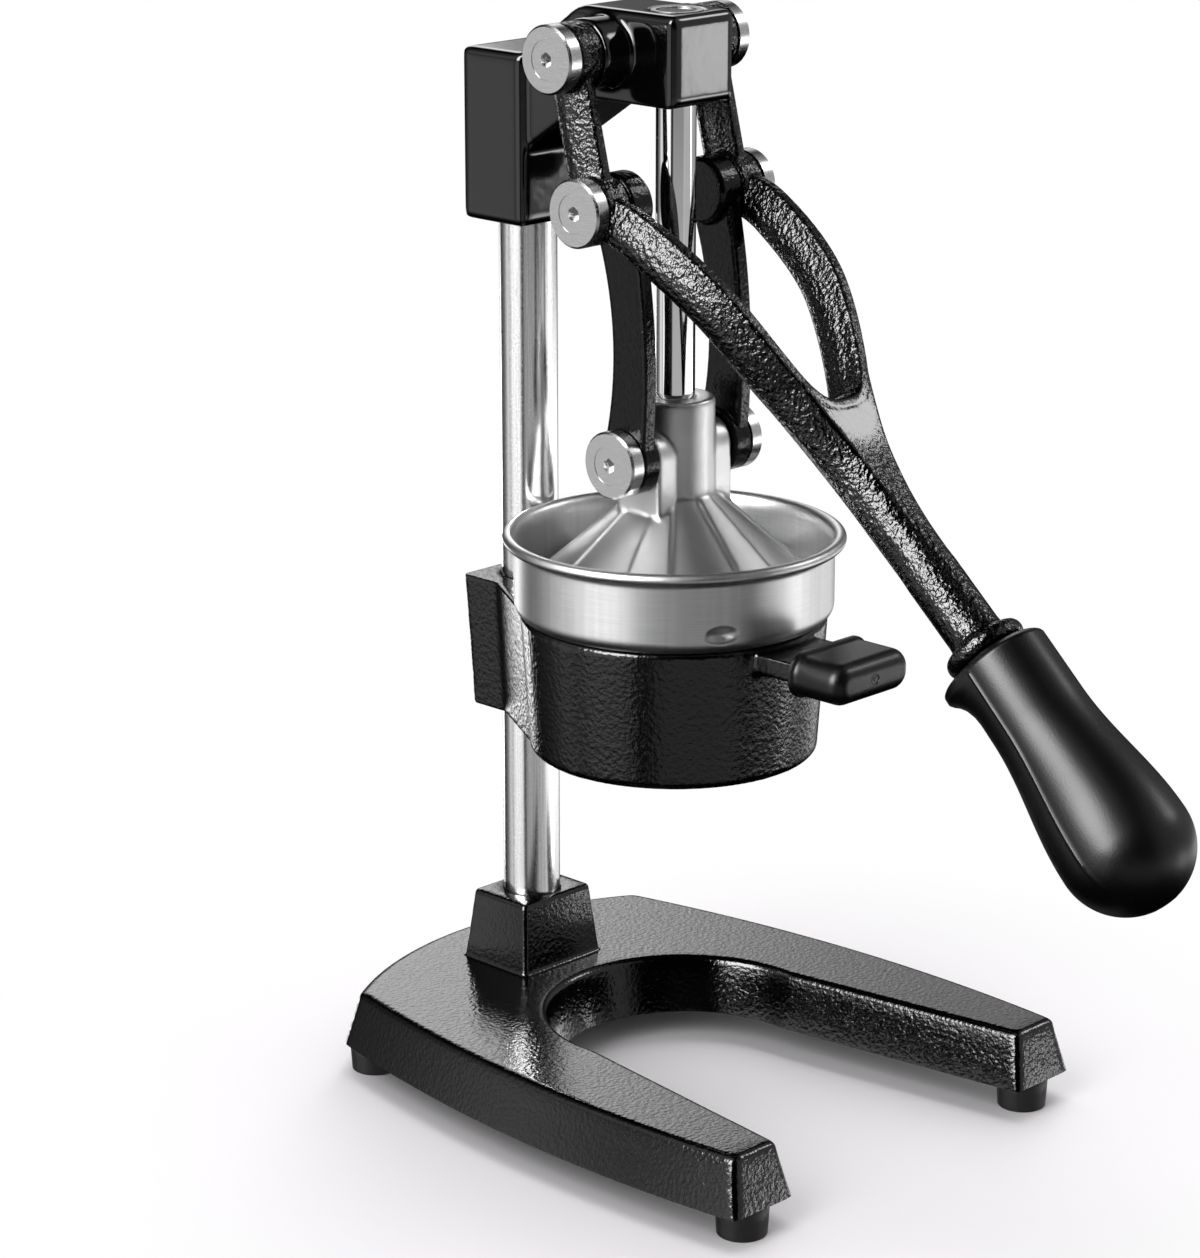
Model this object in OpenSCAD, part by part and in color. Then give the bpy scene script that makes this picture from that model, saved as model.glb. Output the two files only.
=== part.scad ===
// Countertop lever press for citrus fruit.
// Press axis: x = 0, y = 0. The lever points to -Y, the column stands at +Y, the floor is z = 0.

/* [Base] */
// Diameter of a rubber foot where it meets the base
foot_d = 20; // [16:0.2:22]
// Height of a rubber foot
foot_h = 12; // [8:0.5:18]
// Height of the base casting from its lower edge to its top face
base_h = 22.3; // [18:0.1:30]
// Distance from the press axis to the front edge of the base, on its top face
base_front = 116.6; // [100:0.2:140]
// Width across the front ends of the legs, on the top face
base_front_w = 182.4; // [165:0.2:210]
// Width of one leg at its front end
leg_end_w = 21.7; // [18:0.1:30]
// Width across the rear corners of the base
base_rear_w = 155; // [140:0.5:175]
// Distance from the press axis back to the rear corners
base_rear = 95.5; // [92:0.5:110]
// Radius of the bowed long sides
base_side_r = 600; // [400:10:1200]
// Radius of the bowed rear edge
base_rear_r = 142; // [110:1:220]
// How far the sloping sides spread from the top face to the lower edge
base_draft = 4.8; // [2:0.1:7]
// Rounding of the corners seen from above
base_corner_r = 6; // [3:0.5:9]
// Rounding along the rim of the top face
base_edge_r = 3; // [1:0.5:5]
// Wall of the hollow casting
base_wall = 6; // [5:0.5:8]
// Radius of the round notch between the legs
notch_r = 55; // [48:0.5:58]
// Distance of the notch's centre in front of the press axis
notch_front = 8; // [0:0.5:20]

/* [Column] */
// Diameter of the steel column
column_d = 22.4; // [19:0.2:25]
// Space between the cup's rim and the column
column_gap = 1.3; // [1:0.1:4]
// Width of the pedestal where it meets the base
pedestal_w = 42.4; // [38:0.2:50]
// Width of the pedestal's top
pedestal_top_w = 36.4; // [32:0.2:38]
// Depth of the pedestal where it meets the base
pedestal_l = 34.8; // [33:0.2:44]
// Depth of the pedestal's top
pedestal_top_l = 29; // [28:0.2:33]
// Height of the pedestal above the base
pedestal_h = 28.4; // [20:0.2:40]
// Diameter of the bolt that draws the column into the base
column_bolt_d = 10; // [8:1:12]

/* [Head] */
// Height of the fulcrum above the floor
fulcrum_z = 406; // [390:1:430]
// Distance of the fulcrum behind the press axis
fulcrum_back = 19.5; // [15:0.5:24]
// Width of the head's beam
beam_w = 33; // [30:0.5:38]
// Height of the beam above the fulcrum
beam_above = 15.5; // [14:0.5:20]
// Depth of the beam below the fulcrum
beam_below = 18.3; // [16:0.1:22]
// Overhang of the beam in front of the press axis
beam_front = 14; // [12:0.5:20]
// Length of the beam's flat top behind the press axis
beam_flat = 34; // [30:0.5:42]
// Width of the block that grips the column
block_w = 38.6; // [34:0.2:42]
// Depth of that block
block_d = 32.6; // [31:0.2:38]
// Height of that block
block_h = 66; // [56:0.5:80]
// Drop from the top of the beam to the top of the block
block_drop = 20.5; // [12:0.5:26]
// Height of the gusset's root above the block's lower face
gusset_rise = 30.5; // [20:0.5:40]
// Reach of the gusset's toe behind the press axis
gusset_toe = 27; // [22:0.5:36]
// Rounding of the head's edges
head_edge_r = 3; // [1:0.5:5]
// Outside diameter of the bush that guides the rod
bush_d = 19; // [18:0.5:21]

/* [Pivots] */
// Diameter of the steel caps
cap_d = 25.4; // [22:0.2:28]
// Thickness of the steel caps
cap_t = 5.8; // [5:0.1:8]
// Diameter of the bearing sleeves
sleeve_d = 16; // [13:0.5:18]
// Diameter of the pivot screws
screw_d = 8; // [6:0.5:9]
// Diameter of their countersunk heads
screw_head_d = 14.6; // [12:0.2:15.6]
// Width across flats of their sockets
socket_w = 5; // [4:0.5:5]
// Diameter of the bosses that turn on the sleeves
boss_d = 25.4; // [23:0.2:28]
// Thickness of the lever's bosses
lever_boss_t = 11.8; // [10:0.2:14]
// Thickness of the links' bosses
link_boss_t = 9.2; // [8:0.2:12]
// Thickness of the links' straps
link_t = 6.6; // [5:0.2:8]
// Width of the links' straps in the middle
link_w = 16.8; // [14:0.2:20]
// How much wider the straps are at their bosses
link_flare = 4.7; // [0:0.1:5.5]
// How far a link's blind boss at the elbow stands in past its boss at the ear
link_stand = 2.4; // [0:0.1:2.6]
// How far the links bow towards the front
link_bow = 6.5; // [2:0.5:9]
// Length of the links between their pivots
link_len = 95; // [92:0.5:99]

/* [Lever] */
// Distance from the fulcrum to the elbow pivot
crank_len = 56; // [53:0.5:59]
// Lean of that crank towards the front, from straight down
crank_lean = 14.1; // [10:0.1:18]
// Width of the bars between fulcrum and elbow
crank_w = 17; // [12:0.5:20]
// Width of the yoke's arms
yoke_w = 13.2; // [11:0.2:15]
// Depth of the yoke's arms
yoke_t = 18.6; // [16:0.2:21]
// Slope of the lever's arm below the horizontal
arm_slope = 41.7; // [39:0.1:45]
// Diameter of the arm
arm_d = 20.4; // [17:0.2:24]
// Length of the arm from the yoke's nose to its collar
arm_len = 83.5; // [70:0.5:105]
// Diameter of the cast collar
collar_d = 31; // [28:0.5:34]
// Width of the cast collar
collar_w = 6.5; // [5:0.5:9]
// Diameter of the tang inside the grip
tang_d = 14; // [11:0.5:17]
// Length of the tang
tang_len = 72; // [50:1:80]

/* [Grip] */
// Diameter of the grip at its mouth
grip_mouth_d = 36.4; // [34:0.2:39]
// Diameter of the grip's waist
grip_waist_d = 37; // [34:0.2:40]
// Diameter of the grip's round end
grip_bulb_d = 49.5; // [44:0.5:54]
// Length of the grip
grip_len = 107; // [100:1:120]
// Slope of the grip below the horizontal
grip_slope = 44.1; // [41:0.1:47]
// How far the grip's mouth sits above the arm's axis
grip_rise = 2.9; // [0:0.1:4]
// How far the finger guard stands below the grip's mouth
guard_h = 6.8; // [4:0.2:8]

/* [Press] */
// Diameter of the chromed guide rod
rod_d = 15; // [13:0.5:16.5]
// Diameter of the press cone's hub
hub_d = 30.4; // [28:0.2:34]
// Height of the hub above the ears' pivot
hub_above = 21; // [16:0.5:26]
// Depth of the hub below the ears' pivot
hub_below = 16.4; // [15:0.2:18]
// Space between the press cone's rim and the inside of the cup's band
cone_gap = 6.5; // [4.5:0.1:9]
// Space between the press cone and the strainer with the lever down
press_gap = 4.6; // [3:0.1:6]
// Wall of the press cone, measured upright
cone_wall = 5.2; // [4:0.1:6]
// Height of the plain skirt below the cone
skirt_h = 6; // [4:0.5:8]
// Number of broad ribs on the cone
rib_n = 6; // [4:1:8]
// Distance from the press axis to the outer face of an ear
ear_x = 20; // [19:0.5:23]
// Width of an ear
ear_w = 22; // [19:0.5:24]

/* [Cup] */
// Height of the holder's upper edge above the floor
holder_z = 193.8; // [185:0.2:197]
// How far the steel band stands out past the holder's upper edge
holder_step = 2.2; // [1.5:0.1:3]
// How far the holder draws in from its upper to its lower edge
holder_taper = 3.6; // [2:0.1:5]
// Height of the holder
holder_h = 53.5; // [46:0.5:60]
// Wall of the holder
holder_wall = 4.2; // [3:0.1:5]
// Thickness of the holder's floor
holder_floor = 4.5; // [3:0.5:6]
// Diameter of the opening in the holder's floor
outlet_d = 62; // [50:1:76]
// Width of the neck where it leaves the holder's upper edge
neck_w = 80; // [66:1:90]
// Width of the column clamp at the holder's upper edge
clamp_w = 40; // [36:0.5:46]
// Width of the column clamp at the holder's lower edge
clamp_low_w = 32; // [31:0.5:36]
// Wall of the clamp behind the column
clamp_wall = 6.5; // [5:0.5:9]
// Width of the steadying tab at the front
tab_w = 33; // [26:0.5:36]
// Thickness of the tab
tab_t = 7.8; // [6:0.2:9]
// Length of the tab in front of the steel band
tab_out = 33.3; // [28:0.1:36]
// Wall of the tab's grip at its sides
tab_side = 4.1; // [3:0.1:6]
// Wall of the tab's grip above and below the tab
tab_cover = 4; // [3:0.1:6]
// Rounding of the tab grip's front corners
tab_nose_r = 8; // [5:0.5:10]
// Drop from the holder's upper edge to the top of the tab
tab_drop = 1.5; // [1:0.1:4]
// Outside diameter of the steel cup's band
band_d = 121.4; // [118:0.2:128]
// Height of the band up to the middle of its rolled rim
band_h = 29.8; // [24:0.2:36]
// How far the rolled rim stands out past the band
rim_out = 4.3; // [3:0.1:6]
// Inside rounding of the corner between the band and its shoulder
band_round = 3.8; // [3:0.1:5]
// Space between the cup's bowl and the holder around it
bowl_gap = 4; // [3:0.1:6]
// Diameter of the bead of the rolled rim
bead_d = 4.4; // [3.4:0.2:5]
// Thickness of the cup's sheet steel
sheet_t = 1.2; // [0.8:0.1:1.6]
// Height of the reamer above the strainer's rim
reamer_h = 31; // [24:0.5:33]
// Number of drain slots in the strainer
slot_n = 16; // [8:1:20]

/* [Fits] */
// Radial play of a turning or sliding fit
run_fit = 0.05; // [0.02:0.01:0.1]
// Radial play of a pressed or screwed fit
seat_fit = 0.02; // [0.01:0.01:0.05]
// Side play between a turning boss and its neighbour
side_gap = 0.3; // [0.2:0.1:0.6]
// Space between the links and the lever at the elbow
elbow_gap = 0.5; // [0.3:0.1:1]

/* [Hidden] */
$fn = 64;
eps = 0.01;
enamel = "#1b1b1d";
gloss = "#0d0d0f";
steel = "#b9bbbe";
bright = "#d6d8da";
alloy = "#a9abad";
plastic = "#202022";
rubber = "#161616";

// Diameters round the cup, and the column behind it
holder_d = band_d - 2 * holder_step;
holder_low_d = holder_d - 2 * holder_taper;
rim_d = band_d + 2 * rim_out;
cone_d = band_d - 2 * sheet_t - 2 * cone_gap;
tab_reach = band_d / 2 + tab_out;
column_back = rim_d / 2 + column_gap + column_d / 2;

// Heights of the base
base_low = foot_h;
base_top = base_low + base_h;
ceiling_z = base_top - base_wall;

// Places across the mechanism, measured from the middle outwards
link_in = ear_x + side_gap;
link_out = link_in + link_boss_t;
press_cap_x = link_out + side_gap;
lever_in = link_out + elbow_gap;
lever_out = lever_in + lever_boss_t;
lever_cap_x = lever_out + side_gap;
head_boss_x = lever_in - side_gap;
lever_mid = (lever_in + lever_out) / 2;

// Pivots with the lever down, as [y, z]
fulcrum = [fulcrum_back, fulcrum_z];
elbow = fulcrum + crank_len * [-sin(crank_lean), -cos(crank_lean)];
ear = [0, elbow[1] - sqrt(link_len * link_len - elbow[0] * elbow[0])];

// Heights of the head
beam_top = fulcrum_z + beam_above;
beam_low = fulcrum_z - beam_below;
block_top = beam_top - block_drop;
block_low = block_top - block_h;
column_low = base_top - 10;
column_top = block_top - 6;

// Heights of the cup
holder_low = holder_z - holder_h;
rim_z = holder_z + band_h;
bowl_r = holder_d / 2 - holder_wall - bowl_gap;
strainer_z = holder_z + sheet_t;
strainer_t = 1.6;
strainer_gap = 0.4;
strainer_r = band_d / 2 - sheet_t - strainer_gap;
strainer_lip = 4.6;

// Heights of the press cone
hub_top = ear[1] + hub_above;
hub_low = ear[1] - hub_below;
skirt_low = holder_z + sheet_t + strainer_t + press_gap;
cone_low = skirt_low + skirt_h;
rod_low = hub_low + 4.5;
rod_top = beam_top - 0.4;

// The yoke from elbow to nose: [x, forward of the elbow, below the elbow, slope, width, depth]
yoke_half = [
    [lever_mid, 0, 0, 16, yoke_w - 2.2, yoke_t - 3],
    [lever_mid - 0.6, 22, 7.8, 26, yoke_w - 0.8, yoke_t],
    [29.4, 53.5, 29.8, 42, yoke_w - 0.6, yoke_t],
    [14.6, 79, 62.4, 49, yoke_w - 2.4, yoke_t]
];
nose = [0, 87.5, 74, 46, yoke_w - 1.6, yoke_t - 1];

// The arm's axis starts below the nose; the grip sits a little higher and steeper than the arm
arm_foot = elbow - [nose[1] + 4.4, nose[2] + 9.5];
along_arm = [-cos(arm_slope), -sin(arm_slope)];
grip_s = arm_len + collar_w + 0.6;
grip_foot = arm_foot + grip_s * along_arm + grip_rise * [along_arm[1], -along_arm[0]];
bulb_s = grip_len - grip_bulb_d / 2;

// The whole press is set so that the origin lies under the middle of its box
rear_y = base_rear + base_draft + rear_bulge();
front_y = grip_foot[0] - bulb_s * cos(grip_slope) - grip_bulb_d / 2;
frame_y = -(rear_y + front_y) / 2;

function unit(v) = v / norm(v);
function flatten(lists) = [for (list = lists) for (item = list) item];
function arc(c, r, a0, a1, n) = [for (i = [0 : n]) c + r * [cos(a0 + (a1 - a0) * i / n), sin(a0 + (a1 - a0) * i / n)]];
function rear_bulge() = base_rear_r - sqrt(base_rear_r * base_rear_r - base_rear_w * base_rear_w / 4);

// Arc of radius r that rounds corner b between a and c
function corner(a, b, c, r, n) =
    let (u = unit(a - b), v = unit(c - b))
    let (half = acos(max(-1, min(1, u * v))) / 2)
    let (middle = b + unit(u + v) * r / sin(half))
    let (from = b + u * r / tan(half) - middle)
    let (turn = sign(cross(b - a, c - b)) * (180 - 2 * half))
    let (a0 = atan2(from[1], from[0]))
    arc(middle, r, a0, a0 + turn, n);

// Outline with round corners: a point's third number, if it has one, is its own radius
function rounded(points, r, n = 5) =
    let (m = len(points))
    flatten([for (i = [0 : m - 1])
        let (p = points[i], ri = len(p) > 2 ? p[2] : r, b = [p[0], p[1]])
        let (p0 = points[(i + m - 1) % m], p1 = points[(i + 1) % m])
        ri > 0 ? corner([p0[0], p0[1]], b, [p1[0], p1[1]], ri, n) : [b]]);

function box(w, h) = [[-w / 2, -h / 2], [w / 2, -h / 2], [w / 2, h / 2], [-w / 2, h / 2]];

// Skin over rings of points that all have as many points; the lid lists the faces of an end
module skin(rings, lid = []) {
    n = len(rings[0]);
    m = len(rings);
    sides = [for (i = [0 : m - 2]) for (j = [0 : n - 1])
        each [[i * n + j, i * n + (j + 1) % n, (i + 1) * n + j],
            [i * n + (j + 1) % n, (i + 1) * n + (j + 1) % n, (i + 1) * n + j]]];
    end = len(lid) > 0 ? lid : [[for (j = [0 : n - 1]) j]];
    first = [for (f = end) [for (k = [len(f) - 1 : -1 : 0]) f[k]]];
    last = [for (f = end) [for (v = f) (m - 1) * n + v]];
    polyhedron(flatten(rings), concat(sides, first, last));
}

// Triangles between two rows of point numbers that run side by side
function ladder(a, b) =
    let (na = len(a) - 1, nb = len(b) - 1, all = na + nb)
    [for (k = [0 : all - 1])
        let (i = floor(k * na / all + eps), i2 = floor((k + 1) * na / all + eps), j = k - i)
        i2 > i ? [a[i], a[i2], b[j]] : [a[i], b[j + 1], b[j]]];

module placed() {
    translate([0, frame_y, 0]) children();
}

module both_sides() {
    children();
    mirror([1, 0, 0]) children();
}

// Extrusion of a [y, z] outline between two places along X
module slab(x0, x1) {
    translate([x0, 0, 0]) rotate([90, 0, 90]) linear_extrude(x1 - x0) children();
}

// Round bar along X at a pivot
module bar(pivot, x0, x1, d) {
    translate([x0, pivot[0], pivot[1]]) rotate([0, 90, 0]) cylinder(d = d, h = x1 - x0);
}

// Places along the lever's arm, measured from the yoke's nose
module on_arm(s) {
    translate([0, arm_foot[0], arm_foot[1]]) rotate([90 + arm_slope, 0, 0]) translate([0, 0, s]) children();
}

// Places along the grip, measured from its mouth
module on_grip(s) {
    translate([0, grip_foot[0], grip_foot[1]]) rotate([90 + grip_slope, 0, 0]) translate([0, 0, s]) children();
}

// Outline of the base seen from above, grown by d
function base_half(d) =
    let (front = [base_front_w / 2 + d, -base_front - d])
    let (rear = [base_rear_w / 2 + d, base_rear + d])
    let (chord = rear - front, middle = (front + rear) / 2)
    let (side_c = middle + unit([-chord[1], chord[0]]) * sqrt(base_side_r * base_side_r - chord * chord / 4))
    let (side0 = atan2(front[1] - side_c[1], front[0] - side_c[0]))
    let (side1 = atan2(rear[1] - side_c[1], rear[0] - side_c[0]))
    let (rear_c = [0, rear[1] - sqrt(base_rear_r * base_rear_r - rear[0] * rear[0])])
    let (rear0 = atan2(rear[1] - rear_c[1], rear[0]))
    let (side = arc(side_c, base_side_r, side0, side1, 9))
    let (back = arc(rear_c, base_rear_r, rear0, 90, 6))
    let (inner = [base_front_w / 2 - leg_end_w - d, -base_front - d])
    let (hollow = arc([0, -notch_front], notch_r - d, 90, -4, 9))
    concat(hollow,
        [[inner[0], inner[1], base_corner_r - 1], [front[0], front[1], base_corner_r]],
        [for (i = [1 : 8]) side[i]],
        [[rear[0], rear[1], base_corner_r + 2]],
        [for (i = [1 : 6]) back[i]]);
function base_outline(d) =
    let (half = base_half(d), m = len(half))
    rounded(concat(half, [for (i = [m - 2 : -1 : 1]) [-half[i][0], half[i][1], len(half[i]) > 2 ? half[i][2] : 0]]), 0);
// Faces of the top and underside: each leg between its inner and outer edge
function base_lid() =
    let (n = len(base_outline(0)), h = n / 2, inner = [for (k = [0 : 15]) k])
    let (right = ladder(inner, [for (k = [h : -1 : 16]) k]))
    concat(right, [for (f = right) [(n - f[2]) % n, (n - f[1]) % n, (n - f[0]) % n]]);
function at_height(points, z) = [for (p = points) [p[0], p[1], z]];

feet = [[80.5, 6 - base_front], [-80.5, 6 - base_front], [69.5, base_rear + 0.5], [-69.5, base_rear + 0.5]];

module base() {
    boss_d = foot_d - 4;
    column_boss_d = pedestal_l - 2;
    color(enamel) placed() difference() {
        union() {
            difference() {
                skin([
                    at_height(base_outline(-base_edge_r * 0.8), base_top),
                    at_height(base_outline(-base_edge_r * 0.25), base_top - base_edge_r * 0.35),
                    at_height(base_outline(base_draft * base_edge_r / base_h), base_top - base_edge_r),
                    at_height(base_outline(base_draft), base_low)
                ], base_lid());
                translate([0, 0, base_low - 1])
                    linear_extrude(ceiling_z - base_low + 1) polygon(base_outline(-base_wall + 1));
            }
            for (p = feet) translate([p[0], p[1], base_low]) cylinder(d = boss_d, h = base_h - 2);
            translate([0, column_back, column_low - 5]) cylinder(d = column_boss_d, h = base_top - column_low + 3);
            intersection() {
                slab(-pedestal_w, pedestal_w)
                    polygon(pedestal_profile(column_back, pedestal_l / 2, pedestal_top_l / 2));
                translate([0, column_back, 0]) rotate([0, 0, -90])
                    slab(-pedestal_w, pedestal_w) polygon(pedestal_profile(0, pedestal_w / 2, pedestal_top_w / 2));
            }
        }
        translate([0, column_back, column_low]) cylinder(d = column_d + 2 * seat_fit, h = 200);
        translate([0, column_back, 0]) cylinder(d = column_bolt_d + 0.4, h = base_top);
        for (p = feet) translate([p[0], p[1], 0]) cylinder(d = foot_screw_d + 2 * seat_fit, h = base_top - 4);
    }
}

// Side of the tapered pedestal about a middle line, from half its foot to half its top
function pedestal_profile(y, foot, top) =
    let (z0 = base_top - 2, z1 = base_top + pedestal_h)
    rounded([[y - foot, z0, 0], [y + foot, z0, 0], [y + foot, base_top, 0], [y + top, z1], [y - top, z1],
        [y - foot, base_top, 0]], 1.5);

foot_screw_d = 5;
foot_head_d = 9.5;
foot_head_t = 3;
foot_floor = 5;

module rubber_feet() {
    color(rubber) placed() for (p = feet) translate([p[0], p[1], 0]) difference() {
        cylinder(d1 = foot_d - 1.4, d2 = foot_d, h = foot_h);
        translate([0, 0, -1]) cylinder(d = foot_screw_d + 0.4, h = foot_h + 2);
        translate([0, 0, -1]) cylinder(d = foot_head_d + 1, h = foot_h - foot_floor + 1);
    }
}

module foot_screws() {
    head_z = foot_h - foot_floor - foot_head_t;
    color(steel) placed() for (p = feet) translate([p[0], p[1], head_z]) {
        difference() {
            cylinder(d = foot_head_d, h = foot_head_t);
            translate([0, 0, -1]) cylinder(d = 3.4, h = 2.6, $fn = 6);
        }
        cylinder(d = foot_screw_d, h = foot_head_t + foot_floor + base_h - 6);
    }
}

module column() {
    thread_l = 30;
    color(bright) placed() translate([0, column_back, column_low]) difference() {
        cylinder(d = column_d, h = column_top - column_low);
        translate([0, 0, -1]) cylinder(d = column_bolt_d + 2 * seat_fit, h = thread_l + 1);
    }
}

washer_t = 2;

module column_washer() {
    color(steel) placed() translate([0, column_back, column_low - 5 - washer_t]) difference() {
        cylinder(d = column_bolt_d * 2.1, h = washer_t);
        translate([0, 0, -1]) cylinder(d = column_bolt_d + 0.4, h = washer_t + 2);
    }
}

module column_bolt() {
    head_t = column_bolt_d * 0.55;
    z0 = column_low - 5 - washer_t;
    color(steel) placed() translate([0, column_back, z0]) {
        translate([0, 0, -head_t]) cylinder(d = column_bolt_d * 1.85, h = head_t, $fn = 6);
        translate([0, 0, -eps]) cylinder(d = column_bolt_d, h = 5 + washer_t + 25);
    }
}

// Side of the head: beam, sloping shoulder, column block and gusset
function head_profile() =
    let (block_y0 = column_back - block_d / 2, block_y1 = column_back + block_d / 2)
    rounded([[-beam_front, beam_low], [gusset_toe, beam_low, 6], [block_y0, block_low + gusset_rise, 6],
        [block_y0, block_low], [block_y1, block_low], [block_y1, block_top], [block_y0 + 2, block_top, 8],
        [beam_flat, beam_top, 8], [-beam_front, beam_top]], head_edge_r);

grub_d = 8;
head_grubs = [16, 48];
bracket_grubs = [13, 39];

module head() {
    inside = column_back - block_d / 2;
    color(gloss) placed() difference() {
        union() {
            intersection() {
                slab(-block_w / 2, block_w / 2) polygon(head_profile());
                union() {
                    intersection() {
                        translate([0, inside + 5, 0]) rotate([90, 0, 0]) linear_extrude(inside + beam_front + 6)
                            translate([0, (beam_top + block_low) / 2])
                                polygon(rounded(box(beam_w, beam_top - block_low), head_edge_r));
                        translate([0, (inside + 5 - beam_front) / 2, block_low - 1])
                            linear_extrude(beam_top - block_low + 2)
                                polygon(rounded(box(beam_w, inside + 5 + beam_front), head_edge_r));
                    }
                    intersection() {
                        translate([0, column_back, block_low - 1]) linear_extrude(block_h + 2)
                            polygon(rounded(box(block_w, block_d), head_edge_r));
                        translate([0, column_back + block_d / 2 + 1, (block_top + block_low) / 2])
                            rotate([90, 0, 0]) linear_extrude(block_d + 2)
                                polygon(rounded(box(block_w, block_h), head_edge_r));
                    }
                }
            }
            both_sides() bar(fulcrum, beam_w / 2 - 4, head_boss_x, boss_d + 1.2);
        }
        translate([0, 0, beam_low - 1]) cylinder(d = bush_d + 2 * seat_fit, h = beam_top - beam_low + 2);
        translate([0, column_back, block_low - 1])
            cylinder(d = column_d + 2 * seat_fit, h = column_top - block_low + 1 + seat_fit);
        both_sides() bar(fulcrum, head_boss_x - screw_grip, head_boss_x + 1, screw_d + 2 * seat_fit);
        for (z = head_grubs) grub_hole(block_low + z, column_back + block_d / 2);
    }
}

// Threaded hole from the rear face to the column
module grub_hole(z, y1) {
    y0 = column_back + column_d / 2 - 2;
    translate([0, y1 + 1, z]) rotate([90, 0, 0]) cylinder(d = grub_d + 2 * seat_fit, h = y1 + 1 - y0);
}

// Headless screw that bears on the column, with a hexagon socket
module grub(z, y1) {
    y0 = column_back + column_d / 2 + seat_fit;
    translate([0, y1 - 0.5, z]) rotate([90, 0, 0]) difference() {
        cylinder(d = grub_d, h = y1 - 0.5 - y0);
        translate([0, 0, -1]) cylinder(d = grub_d * 0.58, h = 3, $fn = 6);
    }
}

module head_grub_screws() {
    color(steel) placed() for (z = head_grubs) grub(block_low + z, column_back + block_d / 2);
}

module rod_bush() {
    color(steel) placed() translate([0, 0, beam_low]) difference() {
        cylinder(d = bush_d, h = beam_top - beam_low);
        translate([0, 0, -1]) cylinder(d = rod_d + 2 * run_fit, h = beam_top - beam_low + 2);
    }
}

// Hollow of the holder
module holder_hollow() {
    rotate_extrude() polygon([[0, holder_low + holder_floor],
        [holder_low_d / 2 - holder_wall, holder_low + holder_floor],
        [holder_d / 2 - holder_wall, holder_z + eps], [0, holder_z + eps]]);
}

clamp_rear = column_back + column_d / 2 + clamp_wall;

// Neck from the holder to the clamp: its flanks draw together to the rear and lean in to the lower edge
module neck() {
    root_y = sqrt(holder_d * holder_d - neck_w * neck_w) / 2;
    turn = atan((neck_w - clamp_w) / 2 / (column_back - root_y));
    lean = atan(holder_taper / holder_h);
    difference() {
        translate([-neck_w / 2, 0, holder_low]) cube([neck_w, column_back, holder_h]);
        for (s = [-1, 1])
            translate([s * neck_w / 2, root_y, holder_z]) rotate([0, s * lean, s * turn])
                translate([(s - 1) * neck_w / 2, -neck_w, -2 * holder_h])
                    cube([neck_w, 3 * neck_w, 3 * holder_h]);
    }
}

module cup_bracket() {
    tab_top = holder_z - tab_drop;
    clamp_plan = rounded([[-clamp_w / 2, column_back - column_d / 2, 0], [clamp_w / 2, column_back - column_d / 2, 0],
        [clamp_w / 2, clamp_rear, 2], [-clamp_w / 2, clamp_rear, 2]], 0);
    color(enamel) placed() difference() {
        union() {
            rotate_extrude() polygon(rounded([[0, holder_low, 0], [holder_low_d / 2, holder_low, 1.5],
                [holder_d / 2, holder_z, 1], [0, holder_z, 0]], 0));
            neck();
            intersection() {
                translate([0, 0, holder_low]) linear_extrude(holder_h) polygon(clamp_plan);
                rotate([90, 0, 0]) translate([0, 0, -clamp_rear - 1]) linear_extrude(clamp_rear + 1)
                    polygon(rounded([[-clamp_low_w / 2, holder_low, 4], [clamp_low_w / 2, holder_low, 4],
                        [clamp_w / 2, holder_z, 2], [-clamp_w / 2, holder_z, 2]], 0));
            }
            translate([0, -tab_reach, tab_top - tab_t]) linear_extrude(tab_t)
                polygon([[-tab_w / 2, 0], [tab_w / 2, 0], [tab_w / 2, tab_reach - holder_low_d / 2 + 6],
                    [-tab_w / 2, tab_reach - holder_low_d / 2 + 6]]);
        }
        holder_hollow();
        translate([0, 0, holder_low - 1]) cylinder(d = outlet_d, h = holder_floor + 2);
        translate([0, column_back, holder_low - 1]) cylinder(d = column_d + 2 * seat_fit, h = holder_h + 2);
        for (z = bracket_grubs) grub_hole(holder_low + z, clamp_rear);
    }
}

module bracket_grub_screws() {
    color(steel) placed() for (z = bracket_grubs) grub(holder_low + z, clamp_rear);
}

tab_grip_w = tab_w + 2 * tab_side;
tab_grip_h = tab_t + 2 * tab_cover;
tab_grip_l = 24.2;

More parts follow.
